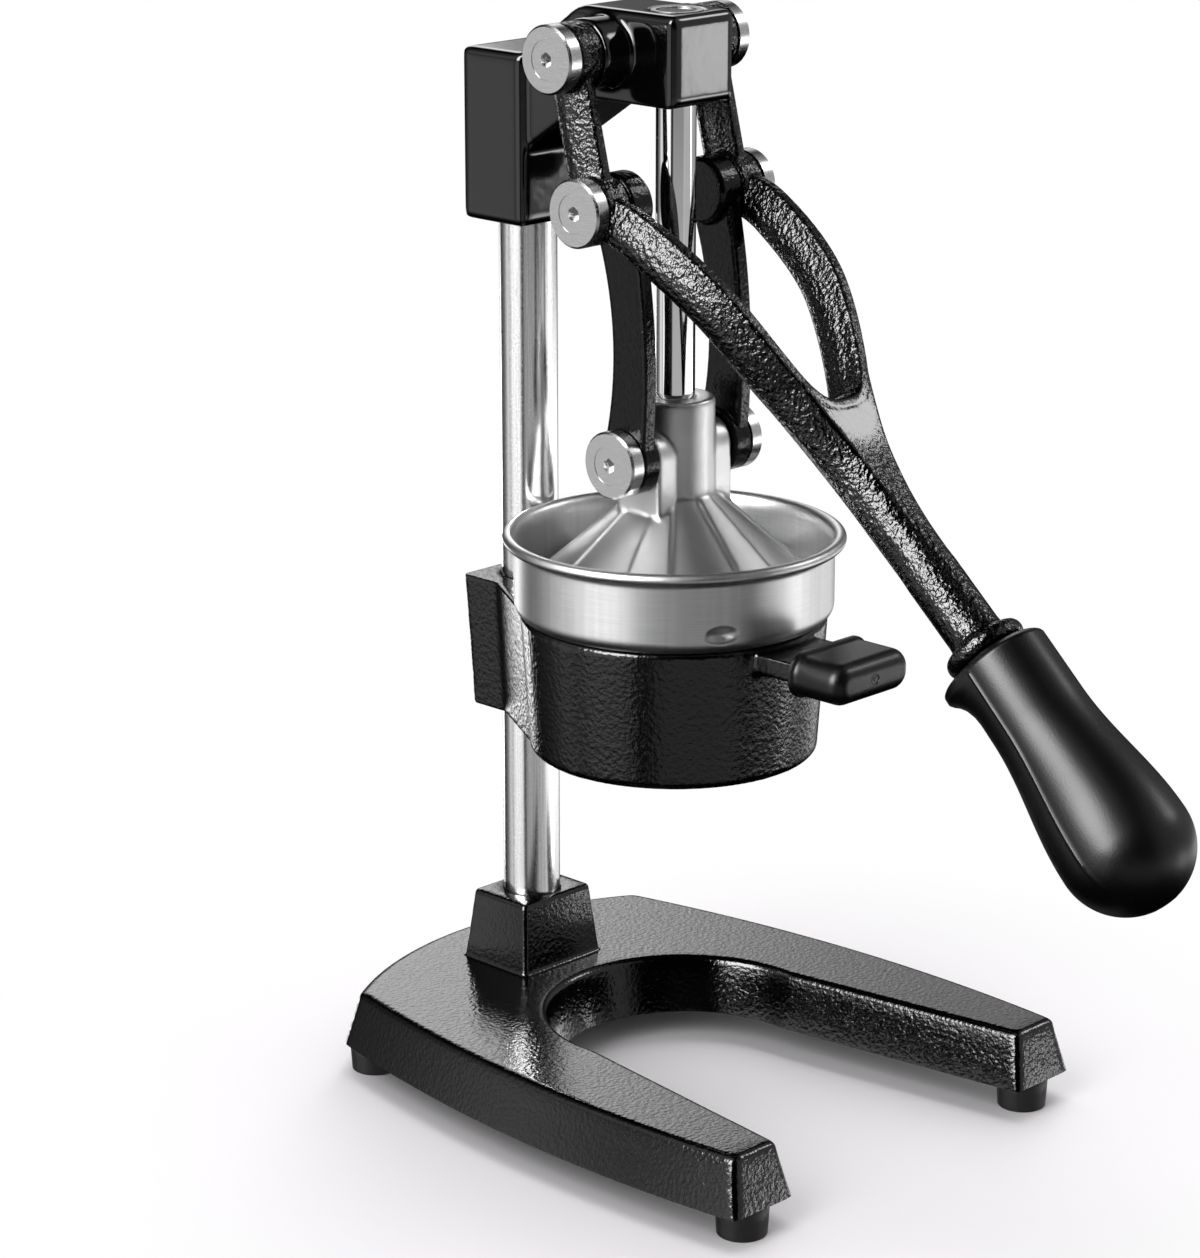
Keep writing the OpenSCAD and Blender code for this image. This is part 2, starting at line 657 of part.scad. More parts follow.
module tab_grip() {
    wall = 6.6;
    tab_mid = holder_z - tab_drop - tab_t / 2;
    y0 = -tab_reach - wall;
    y1 = y0 + tab_grip_l;
    color(plastic) placed() difference() {
        union() {
            intersection() {
                translate([0, 0, tab_mid - tab_grip_h / 2]) linear_extrude(tab_grip_h)
                    polygon(rounded([[-tab_grip_w / 2, y0, tab_nose_r], [tab_grip_w / 2, y0, tab_nose_r],
                        [tab_grip_w / 2, y1, 0], [-tab_grip_w / 2, y1, 0]], 0));
                translate([0, 0, tab_mid]) slab(-tab_grip_w / 2, tab_grip_w / 2)
                    polygon(rounded([[y0, -tab_grip_h / 2, 6], [y1, -tab_grip_h / 2, 0], [y1, tab_grip_h / 2, 0],
                        [y0, tab_grip_h / 2, 6]], 0));
                translate([0, y1, tab_mid]) rotate([90, 0, 0]) linear_extrude(tab_grip_l)
                    polygon(rounded(box(tab_grip_w, tab_grip_h), tab_grip_h * 0.49, 8));
            }
            translate([0, y1, tab_mid]) rotate([90, 0, 0]) linear_extrude(2.4)
                polygon(rounded(box(tab_grip_w + 1.6, tab_grip_h + 1.6), tab_grip_h * 0.49 + 0.8, 8));
        }
        translate([-tab_w / 2 - seat_fit, -tab_reach - seat_fit, tab_mid - tab_t / 2 - seat_fit])
            cube([tab_w + 2 * seat_fit, tab_grip_l, tab_t + 2 * seat_fit]);
        translate([0, y0 + 1.2, tab_mid]) rotate([90, 0, 0]) cylinder(d = 3.6, h = 4);
    }
}

// Pressed dents that hold the strainer down
dimple_z = 8;
dimple_r = 4.5;
dimple_in = 1.9;

module dimples(r) {
    for (i = [0 : 2]) rotate([0, 0, 240 + 120 * i])
        translate([band_d / 2 - sheet_t - dimple_in + dimple_r, 0, holder_z + dimple_z]) sphere(r = r);
}

module funnel_cup() {
    bead = bead_d / 2;
    bead_r = rim_d / 2 - bead;
    spout_r = outlet_d / 2 - 12;
    bowl_low = holder_low + holder_floor + 9;
    outside = rounded([[spout_r, holder_low + 1, 0], [spout_r, bowl_low - 2, 2], [bowl_r - 5, bowl_low + 8, 6],
        [bowl_r, holder_z - 5, 0], [bowl_r, holder_z, 2], [band_d / 2, holder_z, band_round + sheet_t],
        [band_d / 2, rim_z - 2, 2],
        [bead_r, rim_z - bead, 0]], 0);
    inside = rounded([[bead_r - 0.3, rim_z - bead + sheet_t, 0], [band_d / 2 - sheet_t, rim_z - 1, 3],
        [band_d / 2 - sheet_t, holder_z + sheet_t, band_round], [bowl_r - sheet_t, holder_z + sheet_t, 3],
        [bowl_r - sheet_t, holder_z - 5, 0], [bowl_r - 5 - sheet_t, bowl_low + 9, 5],
        [spout_r - sheet_t, bowl_low - 1, 3], [spout_r - sheet_t, holder_low + 1, 0]], 0);
    color(steel) placed() difference() {
        union() {
            rotate_extrude() polygon(concat(outside, inside));
            rotate_extrude() translate([bead_r, rim_z]) circle(d = bead_d, $fn = 24);
            intersection() {
                dimples(dimple_r);
                translate([0, 0, holder_z]) cylinder(r = band_d / 2 - sheet_t / 2, h = band_h);
            }
        }
        dimples(dimple_r - sheet_t);
    }
}

module strainer_cone() {
    foot_r = 36;
    tip_r = 6;
    slope = reamer_h / (foot_r - tip_r);
    color(alloy) placed() difference() {
        union() {
            rotate_extrude() polygon(rounded([[0, strainer_z - 6, 0], [foot_r, strainer_z - 6, 3],
                [bowl_r - 4, strainer_z, 3], [strainer_r, strainer_z, band_round + 0.6],
                [strainer_r, strainer_z + strainer_lip, 0.6], [strainer_r - strainer_t, strainer_z + strainer_lip, 0.6],
                [strainer_r - strainer_t, strainer_z + strainer_t, 2.6],
                [bowl_r - 4, strainer_z + strainer_t, 4], [foot_r + 1, strainer_z - 4, 3],
                [tip_r, strainer_z + reamer_h, 5], [0, strainer_z + reamer_h, 0]], 0));
            for (i = [0 : 7]) rotate([0, 0, i * 45]) rotate([90, 0, 0]) translate([0, 0, -1])
                linear_extrude(2) polygon([[0, strainer_z], [foot_r, strainer_z - 4],
                    [foot_r - 2, strainer_z + 2.2], [tip_r - 2, strainer_z + reamer_h + 1.5], [0, strainer_z + reamer_h + 1.5]]);
        }
        rotate_extrude() polygon([[0, strainer_z - 7], [foot_r - 1, strainer_z - 7], [foot_r - 3, strainer_z - 3.5],
            [tip_r - 3, strainer_z + reamer_h - slope * 4.5], [0, strainer_z + reamer_h - slope * 4.5]]);
        for (i = [0 : slot_n - 1]) rotate([0, 0, (i + 0.5) * 360 / slot_n])
            translate([foot_r + 2.5, -1.1, strainer_z - 10]) cube([8, 2.2, 16]);
    }
}

// Countersunk cap on a pivot: outer face away from the middle
module cap(pivot, x0) {
    edge = 0.8;
    translate([x0, pivot[0], pivot[1]]) rotate([0, 90, 0]) difference() {
        union() {
            cylinder(d = cap_d, h = cap_t - edge);
            translate([0, 0, cap_t - edge]) cylinder(d1 = cap_d, d2 = cap_d - 2 * edge, h = edge);
        }
        translate([0, 0, -1]) cylinder(d = screw_d + 2 * seat_fit, h = cap_t + 2);
        translate([0, 0, cap_t - head_sink - head_cone - seat_fit])
            cylinder(d1 = screw_d + 2 * seat_fit, d2 = screw_head_d + 4 * seat_fit, h = head_cone + seat_fit);
        translate([0, 0, cap_t - head_sink - eps]) cylinder(d = screw_head_d + 4 * seat_fit, h = 1);
    }
}

head_cone = (screw_head_d - screw_d) / 2;
head_sink = 0.2;
screw_grip = 11;

// Countersunk screw from the cap's face down to x1
module pivot_screw(pivot, cap_x, x1) {
    top = cap_x + cap_t - head_sink;
    translate([0, pivot[0], pivot[1]]) rotate([0, 90, 0]) difference() {
        union() {
            translate([0, 0, x1]) cylinder(d = screw_d, h = top - x1 - head_cone + eps);
            translate([0, 0, top - head_cone]) cylinder(d1 = screw_d, d2 = screw_head_d, h = head_cone);
        }
        translate([0, 0, top - 3]) cylinder(d = socket_w / cos(30), h = 4, $fn = 6);
    }
}

module sleeve(pivot, x0, x1) {
    difference() {
        bar(pivot, x0, x1, sleeve_d);
        bar(pivot, x0 - 1, x1 + 1, screw_d + 0.4);
    }
}

module fulcrum_sleeves() {
    color(steel) placed() both_sides() sleeve(fulcrum, head_boss_x, lever_cap_x);
}

module fulcrum_caps() {
    color(bright) placed() both_sides() cap(fulcrum, lever_cap_x);
}

module fulcrum_screws() {
    color(bright) placed() both_sides() pivot_screw(fulcrum, lever_cap_x, head_boss_x - screw_grip + 0.5);
}

module press_sleeves() {
    color(steel) placed() both_sides() sleeve(ear, ear_x, press_cap_x);
}

module press_caps() {
    color(bright) placed() both_sides() cap(ear, press_cap_x);
}

module press_screws() {
    color(bright) placed() both_sides() pivot_screw(ear, press_cap_x, ear_x - 7.5);
}

module elbow_sleeves() {
    color(steel) placed() both_sides() sleeve(elbow, lever_in, lever_cap_x);
}

module elbow_caps() {
    color(bright) placed() both_sides() cap(elbow, lever_cap_x);
}

module elbow_screws() {
    color(bright) placed() both_sides() pivot_screw(elbow, lever_cap_x, lever_in + 0.5);
}

module press_cone() {
    rim_r = cone_d / 2;
    hub_r = hub_d / 2;
    rib_up = 1.2;
    color(alloy) placed() difference() {
        union() {
            rotate_extrude() polygon(rounded([[0, skirt_low, 0], [rim_r, skirt_low, 1.5], [rim_r, cone_low, 2],
                [hub_r, hub_low, 2], [hub_r, hub_top, 0.8], [0, hub_top, 0]], 0));
            for (i = [0 : rib_n - 1]) intersection() {
                rotate_extrude() polygon([[0, cone_low + 1], [rim_r - 0.5, cone_low + 1],
                    [rim_r - 1, cone_low + rib_up + 0.6], [hub_r - 1, hub_low + rib_up + 0.9], [0, hub_low + rib_up]]);
                rotate([0, 0, (i + 0.5) * 360 / rib_n]) translate([0, 0, cone_low]) linear_extrude(hub_top - cone_low)
                    polygon([[0, 0], [rim_r, -rim_r * 0.2], [rim_r, rim_r * 0.2]]);
            }
            slab(-ear_x, ear_x) union() {
                translate(ear) circle(d = ear_w);
                translate([-ear_w / 2, hub_low - 9]) square([ear_w, ear[1] - hub_low + 9]);
            }
        }
        rotate_extrude() polygon([[0, skirt_low - 1], [rim_r - 4, skirt_low - 1], [rim_r - 4, cone_low - 1.5],
            [hub_r - 4, hub_low - cone_wall + 3.5], [0, hub_low - cone_wall + 3.5]]);
        translate([0, 0, rod_low]) cylinder(d = rod_d + 2 * seat_fit, h = hub_top);
        translate([0, 0, hub_low - 20]) cylinder(d = screw_d + 0.4, h = 40);
        both_sides() bar(ear, ear_x - 8, ear_x + 1, screw_d + 2 * seat_fit);
    }
}

module guide_rod() {
    color(bright) placed() translate([0, 0, rod_low]) difference() {
        union() {
            cylinder(d = rod_d, h = rod_top - rod_low - 1);
            translate([0, 0, rod_top - rod_low - 1 - eps]) cylinder(d1 = rod_d, d2 = rod_d - 2, h = 1);
        }
        translate([0, 0, -1]) cylinder(d = screw_d + 2 * seat_fit, h = 31);
    }
}

module rod_screw() {
    seat_z = hub_low - cone_wall + 3.5;
    head_t = 4.5;
    color(steel) placed() translate([0, 0, seat_z]) difference() {
        union() {
            translate([0, 0, -head_t]) cylinder(d = screw_d * 1.7, h = head_t);
            translate([0, 0, -eps]) cylinder(d = screw_d, h = rod_low - seat_z + 25);
        }
        translate([0, 0, -head_t - 1]) cylinder(d = socket_w / cos(30), h = 4, $fn = 6);
    }
}

// Bowed strap from the ear to the elbow, slimmest in the middle
function strap(n = 14) =
    let (run = elbow - ear, side = unit([run[1], -run[0]]))
    let (mid = [for (i = [0 : n]) ear + run * i / n - side * link_bow * 4 * i / n * (1 - i / n)])
    let (half = [for (i = [0 : n]) side * (link_w + link_flare * pow(2 * i / n - 1, 2)) / 2])
    concat([for (i = [0 : n]) mid[i] + half[i]], [for (i = [n : -1 : 0]) mid[i] - half[i]]);

module link() {
    strap_out = link_out - side_gap;
    difference() {
        union() {
            bar(ear, link_in, link_out, boss_d);
            bar(elbow, link_in - link_stand, link_out, boss_d);
            slab(strap_out - link_t, strap_out) polygon(strap());
        }
        bar(ear, link_in - 1, link_out + 1, sleeve_d + 2 * run_fit);
        bar(elbow, link_in - link_stand + 3, link_out + 1, screw_d + 2 * seat_fit);
    }
}

module left_link() {
    color(enamel) placed() mirror([1, 0, 0]) link();
}

module right_link() {
    color(enamel) placed() link();
}

// Yoke rows from one elbow round the nose to the other
function mirrored(row) = [-row[0], row[1], row[2], row[3], row[4], row[5]];
yoke_rows = concat(yoke_half, [nose], [for (i = [len(yoke_half) - 1 : -1 : 0]) mirrored(yoke_half[i])]);
function row(i) =
    let (m = len(yoke_rows))
    i < 0 ? 2 * yoke_rows[0] - yoke_rows[1] : i >= m ? 2 * yoke_rows[m - 1] - yoke_rows[m - 2] : yoke_rows[i];

// Smooth curve through the rows, and its direction
function between(i, t) =
    let (a = row(i - 1), b = row(i), c = row(i + 1), d = row(i + 2))
    b + t / 2 * (c - a + t * (2 * a - 5 * b + 4 * c - d + t * (3 * b - a - 3 * c + d)));
function direction(i, t) =
    let (a = row(i - 1), b = row(i), c = row(i + 1), d = row(i + 2))
    let (v = c - a + 2 * t * (2 * a - 5 * b + 4 * c - d) + 3 * t * t * (3 * b - a - 3 * c + d))
    unit([v[0], -v[1], -v[2]]);

// One ring of the yoke, square to the path: a narrow ridge on top and full flanks, as shares of half width and depth
yoke_side = [[0.36, 1], [0.58, 0.68], [0.86, 0.25], [1, -0.2], [0.88, -0.62], [0.5, -0.95]];
yoke_section = concat(yoke_side, [for (k = [5 : -1 : 0]) [-yoke_side[k][0], yoke_side[k][1]]]);
function yoke_ring(i, t) =
    let (q = between(i, t), along = direction(i, t))
    let (up0 = [0, -sin(q[3]), cos(q[3])])
    let (across = unit(cross(along, up0)), up = cross(across, along))
    [for (k = [len(yoke_section) - 1 : -1 : 0])
        [q[0], elbow[0] - q[1], elbow[1] - q[2]]
            + across * q[4] / 2 * yoke_section[k][0] + up * q[5] / 2 * yoke_section[k][1]];
yoke_steps = 5;

// One ring of the arm's root, from the web between the arms to the round arm
root_end = 34;
function mix(a, b, t) = a + (b - a) * t;
function root_ring(t, n = 16) =
    let (from = elbow - [nose[1] + 1.5, nose[2] + 2], to = arm_foot + root_end * along_arm)
    let (c = mix(from, to, t), w = mix(12.4, arm_d / 2 - 0.1, swell(t)), h = mix(yoke_t / 2 - 0.6, arm_d / 2 - 0.1, t))
    let (up = [along_arm[1], -along_arm[0]], square = mix(0.7, 1, t))
    [for (k = [0 : n - 1])
        let (g = (k + 0.5) * 360 / n, u = sign(sin(g)) * pow(abs(sin(g)), square) * h)
        [sign(cos(g)) * pow(abs(cos(g)), square) * w * (1 - 0.32 * (1 - t) * sin(g)), c[0] + up[0] * u, c[1] + up[1] * u]];

module lever() {
    last = len(yoke_rows) - 2;
    collar_in = arm_len;
    color(enamel) placed() difference() {
        union() {
            skin(concat([for (i = [0 : last]) for (k = [0 : yoke_steps - 1]) yoke_ring(i, k / yoke_steps)],
                [yoke_ring(last, 1)]));
            both_sides() {
                bar(fulcrum, lever_in, lever_out, boss_d);
                bar(elbow, lever_in, lever_out, boss_d);
                slab(lever_in + 0.8, lever_out - 0.8) polygon(crank());
            }
            skin([for (k = [5 : -1 : 0]) root_ring(k / 5)]);
            on_arm(root_end - 8) cylinder(d = arm_d, h = arm_len - root_end + 9);
            on_arm(collar_in) rotate_extrude() polygon(rounded([[0, 0, 0], [collar_d / 2, 0, 3],
                [collar_d / 2, collar_w, 3], [0, collar_w, 0]], 0));
            on_arm(collar_in) cylinder(d = tang_d, h = collar_w + tang_len);
        }
        both_sides() {
            bar(fulcrum, lever_in - 1, lever_out + 1, sleeve_d + 2 * run_fit);
            bar(elbow, lever_in - 9, lever_out + 1, sleeve_d + 2 * seat_fit);
        }
    }
}

// Side of the bar between fulcrum and elbow
function crank() =
    let (run = elbow - fulcrum, side = unit([run[1], -run[0]]) * crank_w / 2)
    [fulcrum + side, fulcrum - side, elbow - side, elbow + side];

// Half outline of the grip along its axis
function swell(t) = (1 - cos(180 * t)) / 2;
function grip_outline(n = 12) =
    let (waist_s = grip_len * 0.24, bulb_r = grip_bulb_d / 2, s1 = grip_len - bulb_r)
    concat([[0, 0], [grip_mouth_d / 2 - 3, 0], [grip_mouth_d / 2 - 1, 0.8], [grip_mouth_d / 2, 2.8]],
        [for (i = [0 : n]) [grip_waist_d / 2 + (bulb_r - grip_waist_d / 2) * swell(i / n),
            waist_s + (s1 - waist_s) * i / n]],
        [for (i = [1 : 8]) [bulb_r * cos(i * 90 / 8), s1 + bulb_r * sin(i * 90 / 8)]]);

module lever_grip() {
    bore_l = arm_len + collar_w + tang_len + 1;
    color(plastic) placed() difference() {
        on_grip(0) union() {
            rotate_extrude() polygon(grip_outline());
            translate([0, -guard_h, 0.6]) rotate_extrude() polygon(rounded([[0, 0, 0],
                [grip_mouth_d / 2 - 0.2, 0, 2], [grip_mouth_d / 2 - 0.2, 6, 2], [guard_h + 3, 17, 0], [0, 17, 0]], 0));
        }
        on_arm(arm_len) cylinder(d = tang_d + 2 * seat_fit, h = bore_l - arm_len);
    }
}

base();
rubber_feet();
foot_screws();
column();
column_bolt();
column_washer();
head();
head_grub_screws();
rod_bush();
cup_bracket();
bracket_grub_screws();
tab_grip();
funnel_cup();
strainer_cone();
fulcrum_sleeves();
fulcrum_caps();
fulcrum_screws();
press_cone();
guide_rod();
rod_screw();
press_sleeves();
press_caps();
press_screws();
left_link();
right_link();
lever();
elbow_sleeves();
elbow_caps();
elbow_screws();
lever_grip();
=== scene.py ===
import math

import bmesh
import bpy
import numpy as np
from mathutils import Matrix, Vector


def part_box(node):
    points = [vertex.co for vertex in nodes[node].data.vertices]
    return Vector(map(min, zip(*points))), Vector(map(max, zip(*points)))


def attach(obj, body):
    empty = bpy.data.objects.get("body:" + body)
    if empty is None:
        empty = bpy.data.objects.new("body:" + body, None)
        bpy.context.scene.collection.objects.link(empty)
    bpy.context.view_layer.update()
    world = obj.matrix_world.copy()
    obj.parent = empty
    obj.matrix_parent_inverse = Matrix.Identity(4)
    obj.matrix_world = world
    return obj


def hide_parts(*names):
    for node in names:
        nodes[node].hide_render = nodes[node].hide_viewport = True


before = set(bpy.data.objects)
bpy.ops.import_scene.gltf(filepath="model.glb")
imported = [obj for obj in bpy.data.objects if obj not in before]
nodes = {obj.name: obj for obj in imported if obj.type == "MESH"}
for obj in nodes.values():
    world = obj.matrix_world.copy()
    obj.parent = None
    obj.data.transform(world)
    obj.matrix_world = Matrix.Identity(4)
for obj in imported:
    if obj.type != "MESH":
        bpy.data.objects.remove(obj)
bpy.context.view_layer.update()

# Base. One hollow iron casting, U-shaped in plan, with a tapered oblong pedestal for the column.
# It is shot-blasted, sprayed with hammered black enamel and baked, so its edges are soft and its
# faces have a fine uneven skin.
MM = 0.001
rod_low, rod_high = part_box("guide_rod")
press_y = (rod_low.y + rod_high.y) / 2
column_y = 77.5
base_top, base_foot, base_ceiling, base_wall = 34.3, 12.0, 28.3, 5.0
draft, edge_r, corner_run = 4.8, 3.0, 8.0
front_corner, rear_corner = np.array([91.2, -116.6]), np.array([77.5, 95.5])
leg_width, leg_front, side_bow, rear_bow = 21.7, -90.0, 600.0, 142.0
notch_y, notch_r, notch_end = -8, 55, -4


def resampled(path, count):
    """Points spread evenly by length along an open path."""
    run = np.r_[0, np.cumsum(np.linalg.norm(np.diff(path, axis=0), axis=1))]
    at = np.linspace(0, run[-1], count)
    return np.stack([np.interp(at, run, path[:, k]) for k in range(path.shape[1])], 1)


def arc(centre, radius, start, end, count):
    """Points of a circle's arc between two angles in degrees."""
    turn = np.radians(np.linspace(start, end, count))
    return np.asarray(centre) + radius * np.stack([np.cos(turn), np.sin(turn)], 1)


def closed_ring(right):
    """The right half of a plan and its mirror image as one closed ring."""
    return np.concatenate([right, right[-2:0:-1] * [-1, 1]])


def at_height(plan, z):
    """A plan as one ring at a height."""
    return np.column_stack([plan, np.full(len(plan), z)])


def base_plan(grow, half=220, fine=2400):
    """Right half of the base's plan grown by `grow`: the notch's arc, the leg's straight end, the bowed
    side and the bowed rear edge. The corners are rounded by a running mean along the mirrored, closed edge.
    The first `half` points run along the notch to the middle of the leg's end, the others outside."""
    front, rear = front_corner + [grow, -grow], rear_corner + grow
    inner = np.array([[front_corner[0] - leg_width - grow, front[1]]])
    chord = rear - front
    normal = np.array([-chord[1], chord[0]]) / np.linalg.norm(chord)
    centre = (front + rear) / 2 + normal * math.sqrt(side_bow**2 - chord @ chord / 4)
    side = np.degrees(np.arctan2(*(np.stack([front, rear]) - centre).T[::-1]))
    back = np.array([0, rear[1] - math.sqrt(rear_bow**2 - rear[0] ** 2)])
    turn = math.degrees(math.atan2(rear[1] - back[1], rear[0]))
    edge = resampled(np.concatenate([arc((0, notch_y), notch_r - grow, 90, notch_end, 90), inner,
                                     arc(centre, side_bow, side[0], side[1], 60),
                                     arc(back, rear_bow, turn, 90, 60)]), fine)
    ring = closed_ring(edge)
    step = np.linalg.norm(np.diff(edge, axis=0), axis=1).mean()
    width = max(3, int(corner_run / step))
    bell = np.hanning(width + 2)[1:-1]
    bell /= bell.sum()
    wide = np.concatenate([ring[-width:], ring, ring[:width]])
    soft = np.stack([np.convolve(wide[:, k], bell, "same")[width:-width] for k in range(2)], 1)[:fine]
    soft[[0, -1], 0] = 0
    off_middle = np.abs(soft[:, 0] - (front_corner[0] - leg_width / 2))
    tip = np.argmin(np.where(soft[:, 1] > leg_front, np.inf, off_middle))
    return np.concatenate([resampled(soft[: tip + 1], half), resampled(soft[tip:], half)[1:]])


def grid_faces(rows, columns, wrap):
    """Quads of a grid of rows x columns points; wrap closes each row on itself."""
    index = np.arange(rows * columns).reshape(rows, columns)
    if wrap:
        index = np.concatenate([index, index[:, :1]], 1)
    return np.stack([index[:-1, :-1], index[:-1, 1:], index[1:, 1:], index[1:, :-1]], -1).reshape(-1, 4)


def make_piece(name, sheets, crease=38.0):
    """One object from sheets (points of a grid in millimetres with the press axis at y = 0, wrap). Points
    that coincide are merged, which closes seams and poles, and the faces are turned outwards."""
    points, faces, start = [], [], 0
    for grid, wrap in sheets:
        rows, columns = grid.shape[:2]
        points.append(grid.reshape(-1, 3))
        faces.append(grid_faces(rows, columns, wrap) + start)
        start += rows * columns
    points = np.concatenate(points) * MM + [0, press_y, 0]
    mesh = bpy.data.meshes.new(name)
    mesh.from_pydata(points.tolist(), [], np.concatenate(faces).tolist())
    work = bmesh.new()
    work.from_mesh(mesh)
    bmesh.ops.remove_doubles(work, verts=work.verts, dist=2e-6)
    bmesh.ops.dissolve_degenerate(work, edges=work.edges, dist=1e-7)
    bmesh.ops.recalc_face_normals(work, faces=work.faces)
    work.to_mesh(mesh)
    work.free()
    mesh.shade_smooth()
    mesh.set_sharp_from_angle(angle=math.radians(crease))
    piece = bpy.data.objects.new(name, mesh)
    bpy.context.scene.collection.objects.link(piece)
    return piece


def lathe(profile, count=96):
    """A profile of (radius, height) points turned about the Z axis: x = r cos a, y = r sin a."""
    turn = np.linspace(0, 2 * math.pi, count, endpoint=False)
    profile = np.asarray(profile, float)
    return np.stack([profile[:, :1] * np.cos(turn), profile[:, :1] * np.sin(turn),
                     np.repeat(profile[:, 1:], count, 1)], -1)


def box_ring(half_x, half_y, corner, count=9):
    """Rounded rectangle: quarter circles of `corner` about (+-(half_x - corner), +-(half_y - corner))."""
    turn = np.radians(np.concatenate([np.linspace(0, 90, count) + 90 * k for k in range(4)]))
    side_x = np.repeat([1, -1, -1, 1], count) * (half_x - corner)
    side_y = np.repeat([1, 1, -1, -1], count) * (half_y - corner)
    return np.stack([side_x + corner * np.cos(turn), side_y + corner * np.sin(turn)], 1)


def flat_face(plan, z, tip=13):
    """Flat face of the U on both halves: straight rows from the notch's edge to the outside edge, and a last
    row round the leg's end, `tip` points to each side of its middle."""
    middle = len(plan) // 2
    inner, outer = plan[: middle - tip + 1], plan[: middle + tip - 1: -1]
    share = np.linspace(0, 1, 2 * tip + 1)[None, :, None]
    flat = inner[:, None] * (1 - share) + outer[:, None] * share
    flat = np.concatenate([flat, plan[None, middle - tip: middle + tip + 1]])
    right = np.concatenate([flat, np.full(flat.shape[:2] + (1,), z)], -1)
    return [(right, False), (right[::-1] * [-1, 1, 1], False)]


def shader_node(tree, kind, sockets=(), **settings):
    """A node with its settings and its unlinked sockets filled in, or linked where an output is given."""
    node = tree.nodes.new(kind)
    for key, value in settings.items():
        setattr(node, key, value)
    for key, value in dict(sockets).items():
        if isinstance(value, bpy.types.NodeSocket):
            tree.links.new(value, node.inputs[key])
        else:
            node.inputs[key].default_value = value
    return node


def noise(tree, where, scale, detail, **sockets):
    """Noise of a scale and detail, read at `where`."""
    sockets.update(Vector=where, Scale=scale, Detail=detail)
    return shader_node(tree, "ShaderNodeTexNoise", sockets).outputs["Fac"]


def stretched(tree, where, scale, **sockets):
    """A place stretched along its axes, which draws a noise out into lines."""
    sockets.update(Vector=where, Scale=scale)
    return shader_node(tree, "ShaderNodeMapping", sockets).outputs["Vector"]


def ranged(tree, value, low, high, start=0.0, end=1.0):
    """A value from `start` to `end` carried over to `low` to `high`."""
    sockets = {"Value": value, "From Min": start, "From Max": end, "To Min": low, "To Max": high}
    return shader_node(tree, "ShaderNodeMapRange", sockets).outputs["Result"]


def maths(tree, operation, *values):
    """A sum, product or angle of up to three values."""
    return shader_node(tree, "ShaderNodeMath", dict(enumerate(values)), operation=operation).outputs["Value"]


def relief(tree, height, strength, distance):
    """A surface that stands up to `distance` metres high where `height` is 1."""
    sockets = {"Strength": strength, "Distance": distance, "Height": height}
    return shader_node(tree, "ShaderNodeBump", sockets).outputs["Normal"]


def new_finish(name, **sockets):
    """A material with its shader's constant sockets set, its tree, its shader and its object coordinates."""
    finish = bpy.data.materials.new(name)
    finish.use_nodes = True
    tree = finish.node_tree
    shader = tree.nodes["Principled BSDF"]
    for key, value in sockets.items():
        shader.inputs[key.replace("_", " ")].default_value = value
    place = tree.nodes.new("ShaderNodeTexCoord").outputs["Object"]
    return finish, tree, shader, place


def coat(tree, shader, shade, gloss=None, skin=None):
    """Links a finish's shade, gloss and relief to its shader."""
    for key, value in (("Base Color", shade), ("Roughness", gloss), ("Normal", skin)):
        if value is not None:
            tree.links.new(value, shader.inputs[key])


def hammered_enamel(name, height, grain, shine, index=1.52, ground=None):
    """Black enamel with a hammered skin: blobs of `grain` per metre stand `height` metres high, finer ones
    ride on them, and the gloss varies. Within `ground`, a point and two radii, the skin is smooth."""
    fine_grain, cloud_grain, fine_share = grain * 2.6, grain / 9, 0.3
    dark, pale, glossy, dull = 0.0003, 0.0012, shine * 0.7, shine * 1.4
    hammered, smooth = 1.0, 0.1
    finish, tree, shader, place = new_finish(name, IOR=index)
    blobs = noise(tree, place, grain, 1.0, Roughness=0.4)
    fine_blobs = noise(tree, place, fine_grain, 1.0)
    cloud = noise(tree, place, cloud_grain, 2.0)
    skin = maths(tree, "MULTIPLY_ADD", fine_blobs, fine_share, blobs)
    strength = hammered
    if ground:
        spot, near, far = ground
        away = shader_node(tree, "ShaderNodeVectorMath", {0: place, 1: spot}, operation="DISTANCE")
        strength = ranged(tree, away.outputs["Value"], smooth, hammered, near, far)
    coat(tree, shader, ranged(tree, cloud, dark, pale), ranged(tree, cloud, glossy, dull),
         relief(tree, skin, strength, height))
    return finish


slope = math.radians(90) - math.atan2(draft, base_top - base_foot)
bend = np.linspace(0, slope, 8)
rim_in = draft * edge_r * (1 - math.cos(slope)) / (base_top - base_foot) - edge_r * math.sin(slope)
wall_profile = np.concatenate([
    np.stack([rim_in + edge_r * np.sin(bend), base_top - edge_r * (1 - np.cos(bend))], 1),
    [[draft * 0.3, base_top - 7], [draft * 0.6, base_top - 13.5], [draft * 0.93, base_foot + 1.6],
     [draft * 0.97, base_foot + 0.5], [draft - 0.7, base_foot], [0.8 - base_wall, base_foot],
     [-base_wall, base_foot + 0.8], [-base_wall, base_ceiling - 1.8], [-base_wall - 1.5, base_ceiling]]])
plans = [base_plan(grow) for grow, _ in wall_profile]
walls = np.stack([at_height(closed_ring(plan), z) for plan, (_, z) in zip(plans, wall_profile)])
